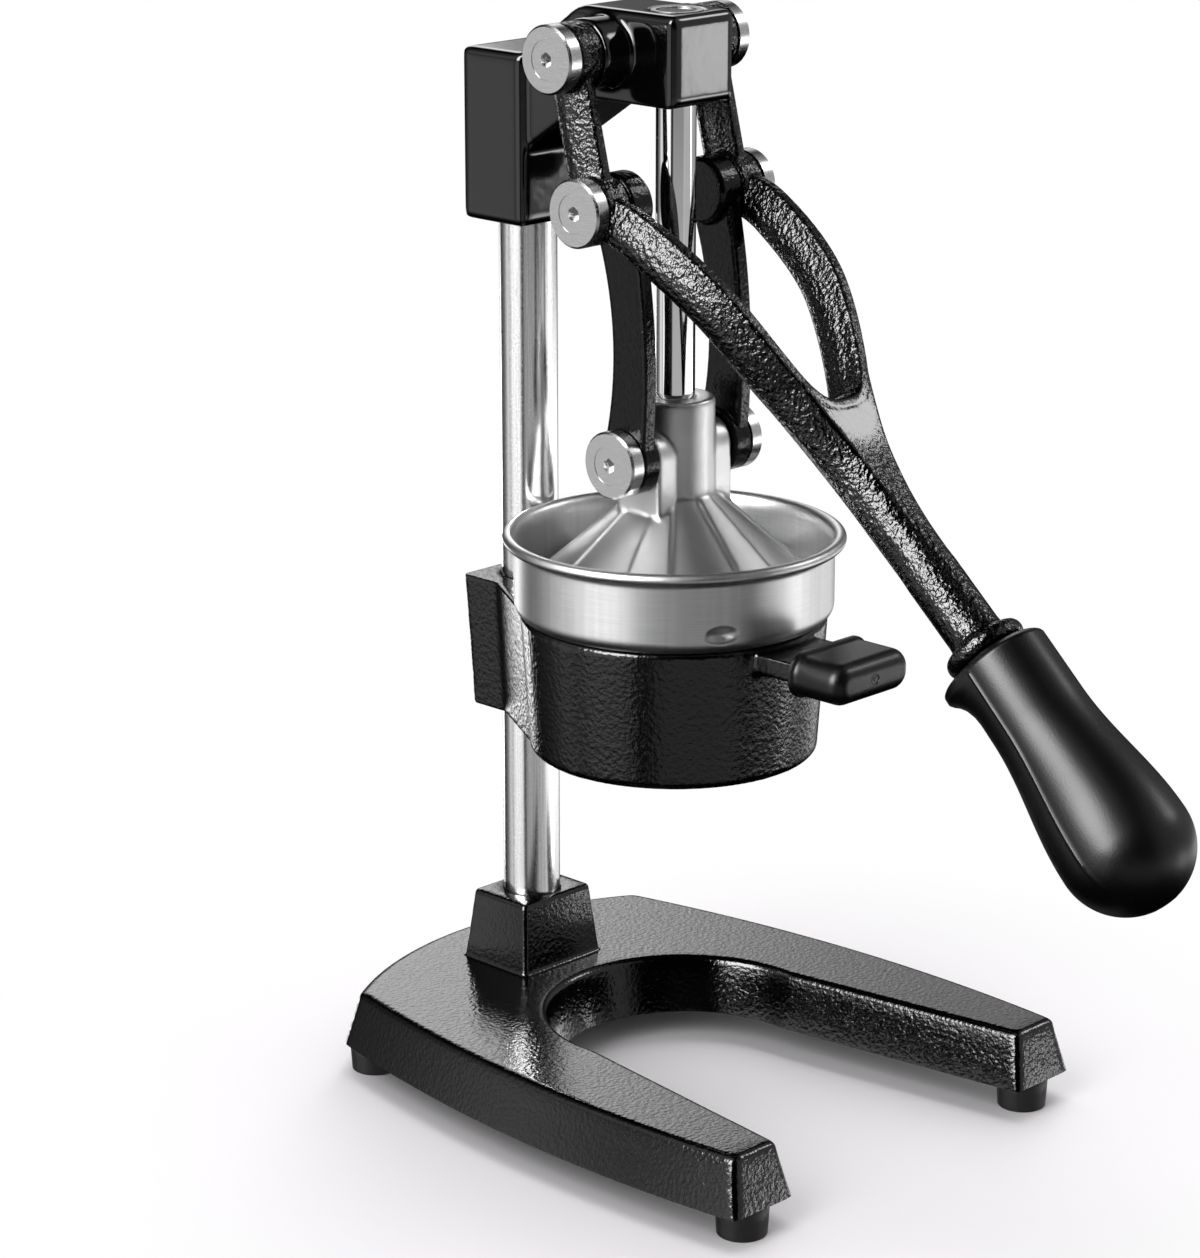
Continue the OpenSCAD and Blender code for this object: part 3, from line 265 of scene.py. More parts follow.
# Pedestal's rings from its foot to its socket: half width, half depth, corner radius and height.
pedestal = [(22.3, 18.5, 2.4, 34.2), (21.75, 17.95, 2.0, 34.45), (21.4, 17.6, 1.9, 35.0),
            (21.15, 17.35, 1.8, 36.0), (18.55, 14.8, 1.8, 60.6), (18.35, 14.6, 1.8, 61.7),
            (17.9, 14.2, 1.7, 62.4), (17.0, 13.3, 1.4, 62.75), (12.5, 12.5, 12.5, 62.75),
            (11.7, 11.7, 11.7, 62.5), (11.3, 11.3, 11.3, 61.8), (11.25, 11.25, 11.25, 59)]
rings = np.stack([at_height(box_ring(x, y, corner) + [0, column_y], z) for x, y, corner, z in pedestal])
floor_pole, socket_pole = (0 * rings[:1] + [0, column_y, pedestal[k][3]] for k in (0, -1))
rings = np.concatenate([floor_pole, rings, socket_pole])
foot_places = ((80.5, -110.6), (-80.5, -110.6), (69.5, 96.0), (-69.5, 96.0))
hole_r, hole_top, boss_r, boss_top = 2.6, 25, 5.2, 28
foot_boss = lathe([(0, hole_top), (hole_r, hole_top), (hole_r, base_foot), (boss_r, base_foot),
                   (boss_r, boss_top), (0, boss_top)], 40)
bosses = [(foot_boss + [x, y, 0], True) for x, y in foot_places]
base = make_piece("base_casting", [(walls, True), *flat_face(plans[0], base_top),
                                   *flat_face(plans[-1], base_ceiling), (rings, True), *bosses])
base.data.materials.append(hammered_enamel("hammered_black_base", height=0.00014, grain=620.0, shine=0.1))
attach(base, "stand")
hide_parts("base")

# Rubber feet. Four moulded rubber feet, slightly tapered, each held by one pan-head screw
# that is sunk in the foot and runs up into a boss of the casting.
foot_profile = [(2.7, 12), (2.7, 7), (5.25, 7), (5.25, 0.3), (5.6, 0), (8.9, 0), (9.3, 0.4), (9.75, 7),
                (10, 11.4), (9.7, 12), (2.7, 12)]
feet = make_piece("rubber_feet_moulded", [(lathe(foot_profile, 64) + [x, y, 0], True) for x, y in foot_places])
rubber, tree, shader, place = new_finish("black_rubber", Roughness=0.42, Specular_IOR_Level=0.45)
dust = noise(tree, place, 260.0, 4.0)
coat(tree, shader, ranged(tree, dust, 0.006, 0.016), skin=relief(tree, dust, 0.5, 0.00008))
feet.data.materials.append(rubber)
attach(feet, "stand")
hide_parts("rubber_feet")


def dress(node_name, finish):
    """Gives a CAD node one finish all over."""
    slots = nodes[node_name].data.materials
    slots.clear()
    slots.append(finish)


zinc, tree, shader, place = new_finish("zinc_plate", Metallic=1.0)
mottle = noise(tree, place, 420.0, 3.0)
coat(tree, shader, ranged(tree, mottle, 0.36, 0.5), ranged(tree, mottle, 0.3, 0.45))
dress("foot_screws", zinc)

# Column. A bright drawn steel bar, drawn down into the pedestal by a bolt and washer under the base.
# Drawing leaves very fine lines along its length and a faint mottle.
drawn, tree, shader, place = new_finish("drawn_steel", Metallic=1.0)
streak = noise(tree, stretched(tree, place, (1.0, 1.0, 0.012)), 2600.0, 3.0)
speck = noise(tree, place, 1300.0, 3.0)
blend = maths(tree, "MULTIPLY", streak, speck)
coat(tree, shader, ranged(tree, blend, 0.62, 0.86, 0.1, 0.42), ranged(tree, speck, 0.1, 0.3),
     relief(tree, speck, 0.3, 0.00003))
dress("column", drawn)
dress("column_bolt", zinc)
dress("column_washer", zinc)

# Head. An iron casting, ground smooth and sprayed gloss black: a beam that guides the rod, a block
# that grips the column, a gusset between them and a boss on each side for the fulcrum.
gloss_black, tree, shader, place = new_finish("gloss_black_head", IOR=1.52)
peel = noise(tree, place, 190.0, 1.0)
cloud = noise(tree, place, 24.0, 2.0)
coat(tree, shader, ranged(tree, cloud, 0.0005, 0.002), ranged(tree, cloud, 0.05, 0.1),
     relief(tree, peel, 0.35, 0.00008))
dress("head", gloss_black)


def soften(node_name, voxel, rounds):
    """Rounds a CAD node's corners by live modifiers: an even skin of voxels, then smoothing."""
    skin_grid = nodes[node_name].modifiers.new("skin_grid", "REMESH")
    skin_grid.mode, skin_grid.voxel_size, skin_grid.use_smooth_shade = "VOXEL", voxel, True
    soft_corners = nodes[node_name].modifiers.new("soft_corners", "SMOOTH")
    soft_corners.factor, soft_corners.iterations = 0.5, rounds


soften("head", voxel=0.0009, rounds=12)
dress("head_grub_screws", zinc)
dress("rod_bush", zinc)

# Cup bracket. One iron casting with the cup's holder, a neck to the clamp round the column and a flat tab at
# the front, in the same hammered enamel as the base. Two grub screws in its back hold it on the column.
holder_low, holder_top, holder_floor, outlet_r = 140.3, 193.8, 144.8, 31
clamp_bore = 11.5
tab_z, tab_tip, tab_root, tab_half_w, tab_half_h = 188.4, -94, -54, 16.5, 3.9


def cast_whole(piece, voxel, rounds):
    """Grows the joined sheets into one skin with soft inner corners, as a casting has: voxels, then
    smoothing."""
    for kind, settings in (("REMESH", {"mode": "VOXEL", "voxel_size": voxel, "use_smooth_shade": True}),
                           ("SMOOTH", {"factor": 0.5, "iterations": rounds})):
        modifier = piece.modifiers.new(kind.title(), kind)
        for key, value in settings.items():
            setattr(modifier, key, value)
    graph = bpy.context.evaluated_depsgraph_get()
    mesh = bpy.data.meshes.new_from_object(piece.evaluated_get(graph))
    piece.modifiers.clear()
    piece.data = mesh
    return piece


def clamp_ring(root, wall, half, rear, corner=1.5):
    """Plan of the neck and clamp: an arc inside the holder's wall, straight flanks to the clamp and its
    back."""
    start = math.degrees(math.atan2(root[1], root[0]))
    right = np.concatenate([arc((0, 0), wall, 90, start, 20),
                            [root, (half, column_y - corner), (half, rear - corner), (half - corner, rear),
                             (0, rear)]])
    return resampled(np.concatenate([right, right[-2::-1] * [-1, 1]]), 241)[:-1]


upper = clamp_ring((40, 42.7), wall=56.4, half=20, rear=95.2)
lower = clamp_ring((36.2, 41.3), wall=52.8, half=16.2, rear=94.4)
axis = np.array([0, column_y])
bore_top, bore_low = (axis + clamp_bore * (plan - axis) / np.linalg.norm(plan - axis, axis=1)[:, None]
                      for plan in (upper, lower))
neck = np.stack([at_height(lower, holder_low), at_height(upper, holder_top), at_height(bore_top, holder_top),
                 at_height(bore_low, holder_low), at_height(lower, holder_low)])
holder = lathe([(outlet_r, holder_low), (53.2, holder_low), (54.9, 142), (58.3, 192.8), (57.6, holder_top),
                (54.3, holder_top), (50.7, holder_floor), (outlet_r, holder_floor),
                (outlet_r, holder_low)], 200)
tab_pole, tab_bar = box_ring(0.01, 0.01, 0.01), box_ring(tab_half_w, tab_half_h, 1.0)
tab = np.stack([np.column_stack([ring[:, 0], np.full(len(ring), y), tab_z + ring[:, 1]])
                for ring, y in ((tab_pole, tab_tip), (tab_bar, tab_tip), (tab_bar, tab_root),
                                (tab_pole, tab_root))])
bracket = cast_whole(make_piece("cup_bracket_casting", [(neck, True), (holder, True), (tab, True)]),
                     voxel=0.0009, rounds=4)
bracket.data.materials.append(hammered_enamel("hammered_black_bracket", height=0.0002, grain=560.0, shine=0.15))
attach(bracket, "stand")
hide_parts("cup_bracket")
dress("bracket_grub_screws", zinc)

# Tab grip. A moulded black plastic cover pushed on the bracket's tab, with round edges, a thin lip
# at its open end and a small round gate mark in the middle of its front.
cover_w, cover_h, cover_corner, cover_nose = 41.2, 15.8, 7.2, 5.5
cover_front, cover_back, pocket_in, pocket_floor = -100.6, -76.4, 4.0, 6


def oblong(width, height, corner, count=160):
    """Rounded rectangle in x and z as points spread evenly by length from the middle of its right side."""
    w, h = width / 2 - corner, height / 2 - corner
    ring = np.concatenate([arc((w, h), corner, 0, 90, 24), arc((-w, h), corner, 90, 180, 24),
                           arc((-w, -h), corner, 180, 270, 24), arc((w, -h), corner, 270, 360, 24)])
    return resampled(np.concatenate([ring, ring[:1]]), count + 1)[:-1]


def tab_ring(inset, y):
    """One ring of the cover: the oblong drawn in by `inset` at a place along Y."""
    ring = oblong(cover_w - 2 * inset, cover_h - 2 * inset, max(cover_corner - inset, 0.6))
    return np.stack([ring[:, 0], np.full(len(ring), y), tab_z + ring[:, 1]], 1)


lip = [(-0.2, 0), (-0.8, -0.5), (-0.8, -1.8), (-0.2, -2.5), (0.15, -3.2), (0.1, -5)]
shell = [tab_ring(inset, cover_back + y) for inset, y in lip]
shell += [tab_ring(cover_nose * (1 - math.cos(a)) + 0.1, cover_front + cover_nose * (1 - math.sin(a)))
          for a in np.radians(np.linspace(0, 90, 9))]
centre = np.array([0, cover_front, tab_z])
outward = (shell[-1] - centre) / np.linalg.norm(shell[-1] - centre, axis=1)[:, None]
gate = [(2.3, 0), (2.2, -0.12), (1.9, -0.12), (1.75, 0.2), (0.9, 0.25), (0.8, 0.05), (0.0, 0.05)]
front = [centre + outward * radius + [0, depth, 0] for radius, depth in gate]
mouth = [tab_ring(inset, y) for inset, y in ((pocket_in, cover_front + pocket_floor), (pocket_in, cover_back),
                                             (0.9, cover_back))]
pocket_pole = 0 * mouth[0] + centre + [0, pocket_floor, 0]
cover = make_piece("tab_grip_moulded", [(np.stack([pocket_pole, *mouth, *shell, *front]), True)])
satin, tree, shader, place = new_finish("satin_black_plastic", IOR=1.42)
grain = noise(tree, place, 1500.0, 2.0)
cloud = noise(tree, place, 35.0, 2.0)
coat(tree, shader, ranged(tree, cloud, 0.0008, 0.002), ranged(tree, cloud, 0.3, 0.38),
     relief(tree, grain, 0.8, 0.00005))
cover.data.materials.append(satin)
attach(cover, "stand")
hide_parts("tab_grip")

# Funnel cup. Spun from stainless sheet: a spout, a bowl, a shoulder that rests on the holder, a band brushed
# round and a rim rolled outwards. Three dents pressed into the band hold the strainer up.
band_r, band_low, band_high, sheet, spout_low = 60.7, 199.6, 219.4, 1.2, 141.3
shoulder_at, shoulder_r, rim_at, rim_r = (55.7, 198.8), 5, (62.8, 223.6), 2.2
dent_turn, dent_z, dent_half_w, dent_half_h, dent_depth = math.radians(240), 201.6, 6.6, 3.3, 2.0
slit_half_w, slit_drop, slit_half_h, slit_depth = 4.2, 0.7, 0.45, 0.5
dent_inside, dent_top = 58, 212
cup_outside = np.concatenate([
    [(19, spout_low), (19, 151), (19.8, 152.6), (21.5, 153.4), (43, 161), (45, 162.6), (46, 165), (50.2, 188),
     (50.3, 191.8), (51.3, 193.5), (53, 193.8)], arc(shoulder_at, shoulder_r, -90, 0, 9),
    [(band_r, z) for z in np.linspace(band_low, band_high, 34)], [(60.85, 220.3), (61.2, 220.9)],
    arc(rim_at, rim_r, -115, 100, 16)])
cup_inside = np.concatenate([
    [(61.6, 225.45), (60.8, 224.85), (60.15, 223.8), (59.75, 222.3), (59.55, 220.6)],
    [(band_r - sheet, z) for z in np.linspace(band_high, band_low, 34)],
    arc(shoulder_at, shoulder_r - sheet, 0, -90, 9),
    [(52.3, 195), (50.4, 194.2), (49.2, 192), (49.1, 188), (44.8, 165.4), (43.9, 163.6), (42.4, 162.3),
     (21, 154.7), (18.5, 153.4), (17.8, 151), (17.8, spout_low), (19, spout_low)]])
cup = lathe(np.concatenate([cup_outside, cup_inside]), 540)
# Each dent is a lens, deepest in its middle, with a narrow slit below it; both draw the band's radius in.
reach = np.hypot(cup[..., 0], cup[..., 1])
third = 2 * math.pi / 3
off_dent = np.mod(np.arctan2(cup[..., 1], cup[..., 0]) - dent_turn + third / 2, third) - third / 2
sideways, aloft = off_dent * reach, cup[..., 2] - dent_z
lens = np.clip(1 - (sideways / dent_half_w) ** 2 - (aloft / dent_half_h) ** 2, 0, 1) ** 1.3
slit = np.clip(1 - (sideways / slit_half_w) ** 2, 0, 1) * np.exp(-((aloft + slit_drop) / slit_half_h) ** 2)
on_band = (reach > dent_inside) & (cup[..., 2] < dent_top)
sunk = (reach - on_band * (dent_depth * lens + slit_depth * slit)) / reach
cup = cup * np.stack([sunk, sunk, np.ones_like(sunk)], -1)
funnel = make_piece("funnel_cup_spun", [(cup, True)], crease=60.0)
brushed, tree, shader, place = new_finish("brushed_stainless", Metallic=1.0)
apart = shader_node(tree, "ShaderNodeSeparateXYZ", {"Vector": place}).outputs
angle = maths(tree, "ARCTAN2", maths(tree, "SUBTRACT", apart["Y"], press_y), apart["X"])
around = shader_node(tree, "ShaderNodeCombineXYZ", {"X": angle, "Z": apart["Z"]}).outputs["Vector"]
streak = noise(tree, stretched(tree, around, (3.0, 1.0, 2600.0)), 1.0, 3.0)
patch = noise(tree, stretched(tree, around, (22.0, 1.0, 14.0)), 1.0, 2.0)
tone = maths(tree, "MULTIPLY_ADD", patch, 0.7, streak)
coat(tree, shader, ranged(tree, tone, 0.52, 0.68, 0.5, 1.2), ranged(tree, streak, 0.34, 0.44),
     relief(tree, streak, 0.25, 0.00002))
funnel.data.materials.append(brushed)
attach(funnel, "stand")
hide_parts("funnel_cup")

# Strainer, press cone and rod. Strainer and press cone are aluminium castings, blasted to a satin skin; the
# cone has broad raised sectors, a hub and two ears, and a screw draws it against the chromed rod.
cast, tree, shader, place = new_finish("satin_cast_aluminium", Metallic=1.0)
pits = noise(tree, place, 900.0, 4.0)
cloud = noise(tree, place, 60.0, 3.0)
coat(tree, shader, ranged(tree, cloud, 0.48, 0.7), ranged(tree, pits, 0.33, 0.46),
     relief(tree, pits, 0.5, 0.00006))
dress("strainer_cone", cast)
dress("press_cone", cast)
soften("press_cone", voxel=0.0007, rounds=14)
dress("rod_screw", zinc)
chrome, tree, shader, place = new_finish("polished_chrome", Metallic=1.0)
haze = noise(tree, place, 90.0, 3.0)
coat(tree, shader, ranged(tree, haze, 0.74, 0.82), ranged(tree, haze, 0.04, 0.09))
dress("guide_rod", chrome)

# Links. Two bowed iron castings that join the press cone's ears to the lever's elbow. The strap is slimmest in
# the middle and flush with the outside; each end has a round boss, the upper one blind on its inner face.
crank_length, crank_lean, link_length = 56.0, math.radians(14.1), 95.0
fulcrum = np.array([19.5, 406.0])
elbow = fulcrum - crank_length * np.array([math.sin(crank_lean), math.cos(crank_lean)])
ear = np.array([0.0, elbow[1] - math.sqrt(link_length**2 - elbow[0] ** 2)])
strap_x, strap_half_t, strap_waist, strap_flare, strap_bow = 25.9, 3.3, 16.8, 4.7, 6.5
pivot_r, link_bore, link_inside, link_outside, blind_face = 12.7, 8.4, 20.4, 29.4, 18.0


def swept(path, across, up, half_w, half_h, section):
    """A section of (across, up) shares, one for all or one for each point, carried along a path:
    p + across * w * s0 + up * h * s1, with closed ends."""
    ring = (path[:, None] + across[:, None] * (half_w[:, None] * section[..., 0])[..., None]
            + up[:, None] * (half_h[:, None] * section[..., 1])[..., None])
    first, last = (np.repeat(end[None, None], ring.shape[1], 1) for end in (path[0], path[-1]))
    return np.concatenate([first, ring, last]), True


def on_pivot(profile, centre, count=96):
    """A profile of (radius, x) points turned about a pivot at [y, z], whose axis runs along X."""
    ring = lathe(profile, count)
    return np.stack([ring[..., 2], centre[0] + ring[..., 0], centre[1] + ring[..., 1]], -1), True


def boss(ends, centre, radius, bore, edge=0.9):
    """Ring-shaped boss along X between two ends, with rounded rims."""
    x0, x1 = sorted(ends)
    return on_pivot([(bore, x0), (radius - edge, x0), (radius - edge * 0.3, x0 + edge * 0.3),
                     (radius, x0 + edge), (radius, x1 - edge), (radius - edge * 0.3, x1 - edge * 0.3),
                     (radius - edge, x1), (bore, x1), (bore, x0)], centre)


t = np.linspace(0, 1, 40)
run = elbow - ear
back = np.array([run[1], -run[0]]) / np.linalg.norm(run)
strap = ear + run * t[:, None] - back * (strap_bow * 4 * t * (1 - t))[:, None]
strap_half_w = (strap_waist + strap_flare * (2 * t - 1) ** 2) / 2
blind_profile = [(0, blind_face), (11.4, blind_face), (11.9, 18.5), (12.0, 19.2), (pivot_r, 19.4),
                 (pivot_r, 28.6), (11.9, link_outside), (0, link_outside)]
link_enamel = hammered_enamel("hammered_black_links", height=0.00022, grain=560.0, shine=0.16, index=1.32)
for name, sign in (("left_link", -1), ("right_link", 1)):
    line = np.column_stack([np.full(len(t), strap_x * sign), strap])
    bar = swept(line, np.tile([1.0, 0, 0], (len(t), 1)), np.tile([0, *back], (len(t), 1)),
                np.full(len(t), strap_half_t), strap_half_w, box_ring(1, 1, 0.28))
    ear_boss = boss((link_inside * sign, link_outside * sign), ear, pivot_r, link_bore)
    blind_boss = on_pivot([(radius, x * sign) for radius, x in blind_profile], elbow)
    link = cast_whole(make_piece(name + "_casting", [bar, ear_boss, blind_boss]), voxel=0.00045, rounds=2)
    link.data.materials.append(link_enamel)
    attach(link, name)
    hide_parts(name)

# Lever. One iron casting: crank bars with two bosses on each side, a wishbone yoke whose arms carry
# a narrow ridge along their tops, a round arm and a collar, in coarse hammered enamel.
arm_slope = math.radians(41.7)
along_arm = np.array([-math.cos(arm_slope), -math.sin(arm_slope)])
rise_arm = np.array([along_arm[1], -along_arm[0]])
yoke_run, yoke_fall = 87.5 + 4.4, 74 + 9.5
arm_foot = elbow - [yoke_run, yoke_fall]
crank_x, crank_half_w, crank_half_h, crank_gap = 35.9, 5.5, 8.7, 10
lever_inside, lever_outside, lever_bore, bore_reach = 30.2, 41.6, 8.6, 8.5
web_depth, web_overlap, web_points = 8, 0.8, 60


def flow(rows, steps):
    """Smooth curve through rows of numbers: Catmull-Rom cubics between neighbours, ends carried on
    straight."""
    rows = np.asarray(rows, float)
    full = np.concatenate([2 * rows[:1] - rows[1:2], rows, 2 * rows[-1:] - rows[-2:-1]])
    t = np.linspace(0, 1, steps, endpoint=False)[None, :, None]
    a, b, c, d = (full[k: len(full) - 3 + k, None, :] for k in range(4))
    body = b + t / 2 * (c - a + t * (2 * a - 5 * b + 4 * c - d + t * (3 * b - a - 3 * c + d)))
    return np.concatenate([body.reshape(-1, rows.shape[1]), rows[-1:]])


def unit(rows):
    """Each row of numbers as a direction of length 1."""
    return rows / np.linalg.norm(rows, axis=1)[:, None]


# Rows of the yoke from one elbow to the middle: place to the side, forward of the elbow and below it, lean
# of the ridge in degrees, half width and half height.
yoke_half = [[35.9, 0, 0, 16, 5.6, 8.0], [35.6, 22, 7.8, 26, 6.3, 9.2], [29.4, 53.5, 29.8, 42, 6.4, 9.6],
             [14.6, 79, 62.4, 49, 5.6, 9.6]]
yoke_middle = [0, 84.5, 68.8, 46, 5.8, 9.2]
steps = 26
curve = flow(yoke_half + [yoke_middle] + [[-row[0], *row[1:]] for row in yoke_half[::-1]], steps)
path = np.stack([curve[:, 0], elbow[0] - curve[:, 1], elbow[1] - curve[:, 2]], 1)
ahead = unit(np.gradient(path, axis=0))
lean = np.radians(curve[:, 3])
across = unit(np.cross(ahead, np.stack([0 * lean, -np.sin(lean), np.cos(lean)], 1)))
up = np.cross(across, ahead)
half_ridge = [(0, 1), (0.33, 1), (0.42, 0.92), (0.58, 0.6), (0.84, 0.22), (1, -0.2), (0.93, -0.58),
              (0.64, -0.88), (0.25, -0.99), (0, -1)]
ridged = np.array(half_ridge + [(-a, b) for a, b in half_ridge[-2:0:-1]])
clear = curve[:, 1] > bore_reach
yoke = swept(path[clear], across[clear], up[clear], curve[clear, 4], curve[clear, 5], ridged)

# Rows of a shoulder, which leads from the yoke's arm to the round arm: place to the side, along the arm and
# above it, half width, half height and share of roundness.
shoulder_rows = [[8.4, -3, 3.6, 6.4, 9.4, 0.2], [4.2, 16, 1.4, 7.4, 9.4, 0.5], [1.6, 34, 0.2, 8.6, 9.8, 0.9],
                 [0, 52, 0, 9.8, 10.2, 1], [0, 62, 0, 9.8, 10.2, 1]]
middle = len(path) // 2
root_part, bay_part = slice(2 * steps, 3 * steps - 2, 4), slice(middle - steps - 1, middle + 1)
crest_part, crest_fork, root_slim = slice(42, -8), 9, 0.96
root = path[root_part] - [0, *arm_foot]
root = np.column_stack([root[:, 0], root[:, 1:] @ along_arm, root[:, 1:] @ rise_arm,
                        curve[root_part, 4:] * root_slim, 0 * root[:, 0]])
shoulder = flow(np.concatenate([root, shoulder_rows]), 8)
mixed = ridged + (unit(ridged) - ridged) * shoulder[:, 5, None, None]
ridge_top = path + up * curve[:, 5:]
parts, webs = [yoke], []
for sign in (1, -1):
    line = np.column_stack([shoulder[:, 0] * sign,
                            arm_foot + shoulder[:, 1:2] * along_arm + shoulder[:, 2:3] * rise_arm])
    forward = unit(np.gradient(line, axis=0))
    flank = unit(np.cross(forward, np.tile([0, *rise_arm], (len(line), 1))))
    lift = np.cross(flank, forward)
    parts.append(swept(line, flank, lift, shoulder[:, 3], shoulder[:, 4], mixed))
    crest = resampled((line + lift * shoulder[:, 4:5])[crest_part], web_points)
    bay = ridge_top[bay_part] * [sign, 1, 1]
    inner = resampled(np.concatenate([bay, crest[crest_fork:] * [0, 1, 1]]), web_points)
    inner = inner - [web_overlap * sign, 0, 0]
    drop = [0, *(web_depth * rise_arm)]
    webs.append((np.stack([inner, crest, crest - drop, inner - drop], 1), True))


def on_axis(profile, foot, direction, rise, count=96):
    """A profile of (radius, distance) turned about a sloping axis in the middle plane."""
    ring = lathe(profile, count)
    return np.concatenate([ring[..., :1], foot + ring[..., 2:] * direction + ring[..., 1:2] * rise], -1), True


round_arm = on_axis([(0, 44), (9.8, 44), (10.2, 54), (10.2, 80), (10.6, 82.5), (13.2, 83.2), (14.6, 84.0),
                     (15.4, 85.6), (15.5, 87.2), (15.0, 88.8), (13.8, 89.8), (7, 90.0), (0, 90.0)],
                    arm_foot, along_arm, rise_arm)
parts += [*webs, round_arm]
share = np.linspace(0, 1, 14)[:, None]
run = (elbow - fulcrum) / crank_length
crank_path = (fulcrum + run * crank_gap) * (1 - share) + (elbow - run * crank_gap) * share
for sign in (1, -1):
    line = np.column_stack([np.full(len(share), crank_x * sign), crank_path])
    parts.append(swept(line, np.tile([1.0, 0, 0], (len(share), 1)),
                       np.tile([0, run[1], -run[0]], (len(share), 1)), np.full(len(share), crank_half_w),
                       np.full(len(share), crank_half_h), ridged))
    ends = (lever_inside * sign, lever_outside * sign)
    parts += [boss(ends, pivot, pivot_r, lever_bore) for pivot in (fulcrum, elbow)]
lever = cast_whole(make_piece("lever_casting", parts), voxel=0.00067, rounds=5)
spot_back, spot_rise, smooth_r, rough_r = 11, 14, 0.009, 0.02
web_spot = (arm_foot - spot_back * along_arm + spot_rise * rise_arm) * MM
smooth_web = ((0.0, web_spot[0] + press_y, web_spot[1]), smooth_r, rough_r)
lever.data.materials.append(hammered_enamel("hammered_black_lever", height=0.00062, grain=560.0, shine=0.07,
                                            ground=smooth_web))
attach(lever, "lever")
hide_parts("lever")

# Lever grip. Black satin plastic, moulded in two halves so a fine parting line runs along each flank,
# pushed on the lever's tang; a hooked finger guard stands out under its mouth.
grip_slope, grip_length = math.radians(44.1), 107
mouth_r, mouth_round, waist, waist_s, bulb = 18.2, 3.4, 18.5, 26, 24.75
guard_reach, seam_height, seam_half_w = 7.8, 0.4, 0.5
seam_start, seam_rise, seam_end, seam_fall = 1, 4, 100, 20
swell_s, bulb_s = grip_length * 0.24, grip_length - bulb
along_grip = np.array([-math.cos(grip_slope), -math.sin(grip_slope)])
rise_grip = np.array([along_grip[1], -along_grip[0]])
arm_length, collar_length, collar_play, grip_rise = 83.5, 6.5, 0.6, 2.9
grip_foot = arm_foot + (arm_length + collar_length + collar_play) * along_arm + grip_rise * rise_arm
# Radius along the grip: a straight mouth, a cosine swell to the bulb and a round end. The guard adds to it
# on the lower side, and the parting line stands out a little on both flanks.
s = np.concatenate([np.linspace(0, 6, 30), np.linspace(6.5, grip_length, 140)])
t = np.clip((s - swell_s) / (bulb_s - swell_s), 0, 1)
body = waist + (bulb - waist) * (1 - np.cos(math.pi * t)) / 2
body = np.where(s < waist_s, mouth_r + 0.3 * np.clip(s / waist_s, 0, 1), body)
body = np.where(s > bulb_s, np.sqrt(np.clip(bulb**2 - (s - bulb_s) ** 2, 0, None)), body)
body -= mouth_round * np.clip(1 - s / mouth_round, 0, 1) ** 2.4
turn = np.linspace(0, 2 * math.pi, 160, endpoint=False)
guard = np.interp(s, [0, 0.5, 1.1, 2.4, 5.2, 6.6, 8.2, 11, 15, 19],
                  [0.3, 0.7, 0.9, 1, 1, 0.84, 0.58, 0.3, 0.08, 0])
down = np.clip(-np.sin(turn), 0, 1) ** 1.7
reach = body[:, None] + guard[:, None] * guard_reach * down[None]
fade = (np.clip((s[:, None] - seam_start) / seam_rise, 0, 1)
        * np.clip((seam_end - s[:, None]) / seam_fall, 0, 1))
reach = reach + seam_height * fade * np.exp(-(np.sin(turn) * reach / seam_half_w) ** 2)
beside, above = reach * np.cos(turn), reach * np.sin(turn)
skin = np.stack([beside, *(grip_foot[k] + s[:, None] * along_grip[k] + above * rise_grip[k]
                           for k in (0, 1))], -1)
mouth_pole = 0 * skin[:1] + [0, *grip_foot]
grip = make_piece("lever_grip_moulded", [(np.concatenate([mouth_pole, skin]), True)])
grip.data.materials.append(satin)
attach(grip, "lever")
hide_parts("lever_grip")

# Pivots. At each pivot a hardened sleeve carries the turning boss, and a turned and brushed steel cap is
# drawn against it by a countersunk socket screw.
turned, tree, shader, place = new_finish("turned_steel", Metallic=1.0)
streak = noise(tree, stretched(tree, place, (0.3, 0.06, 1.0), Rotation=(0.6, 0.0, 0.0)), 3800.0, 3.0)
coat(tree, shader, ranged(tree, streak, 0.48, 0.62), ranged(tree, streak, 0.22, 0.3))
for pivot in ("fulcrum", "press", "elbow"):
    dress(pivot + "_sleeves", zinc)
    dress(pivot + "_caps", turned)
    dress(pivot + "_screws", turned)

# Studio. A white floor and backdrop. Soft lamps light the floor; polished faces see a dark room with white
# panels round the press, each hung where one face of the press mirrors it to the camera.
camera_az, camera_el = math.radians(-45.86), math.radians(16.35)
camera_place = (-1.0481, -0.9846 + press_y, 0.6164)
to_right = (math.cos(camera_az), math.sin(camera_az), 0.0)
to_camera = (math.sin(camera_az), -math.cos(camera_az), 0.0)
bpy.ops.mesh.primitive_plane_add(size=4.0)
floor = bpy.context.object
floor.name = "floor"
paper = bpy.data.materials.new("white_paper")
paper.use_nodes = True
tree = paper.node_tree
tree.nodes.clear()


def mixed_shader(tree, share, first, second):
    """The first shader where `share` is 0 and the second where it is 1."""
    return shader_node(tree, "ShaderNodeMixShader", {0: share, 1: first, 2: second}).outputs[0]


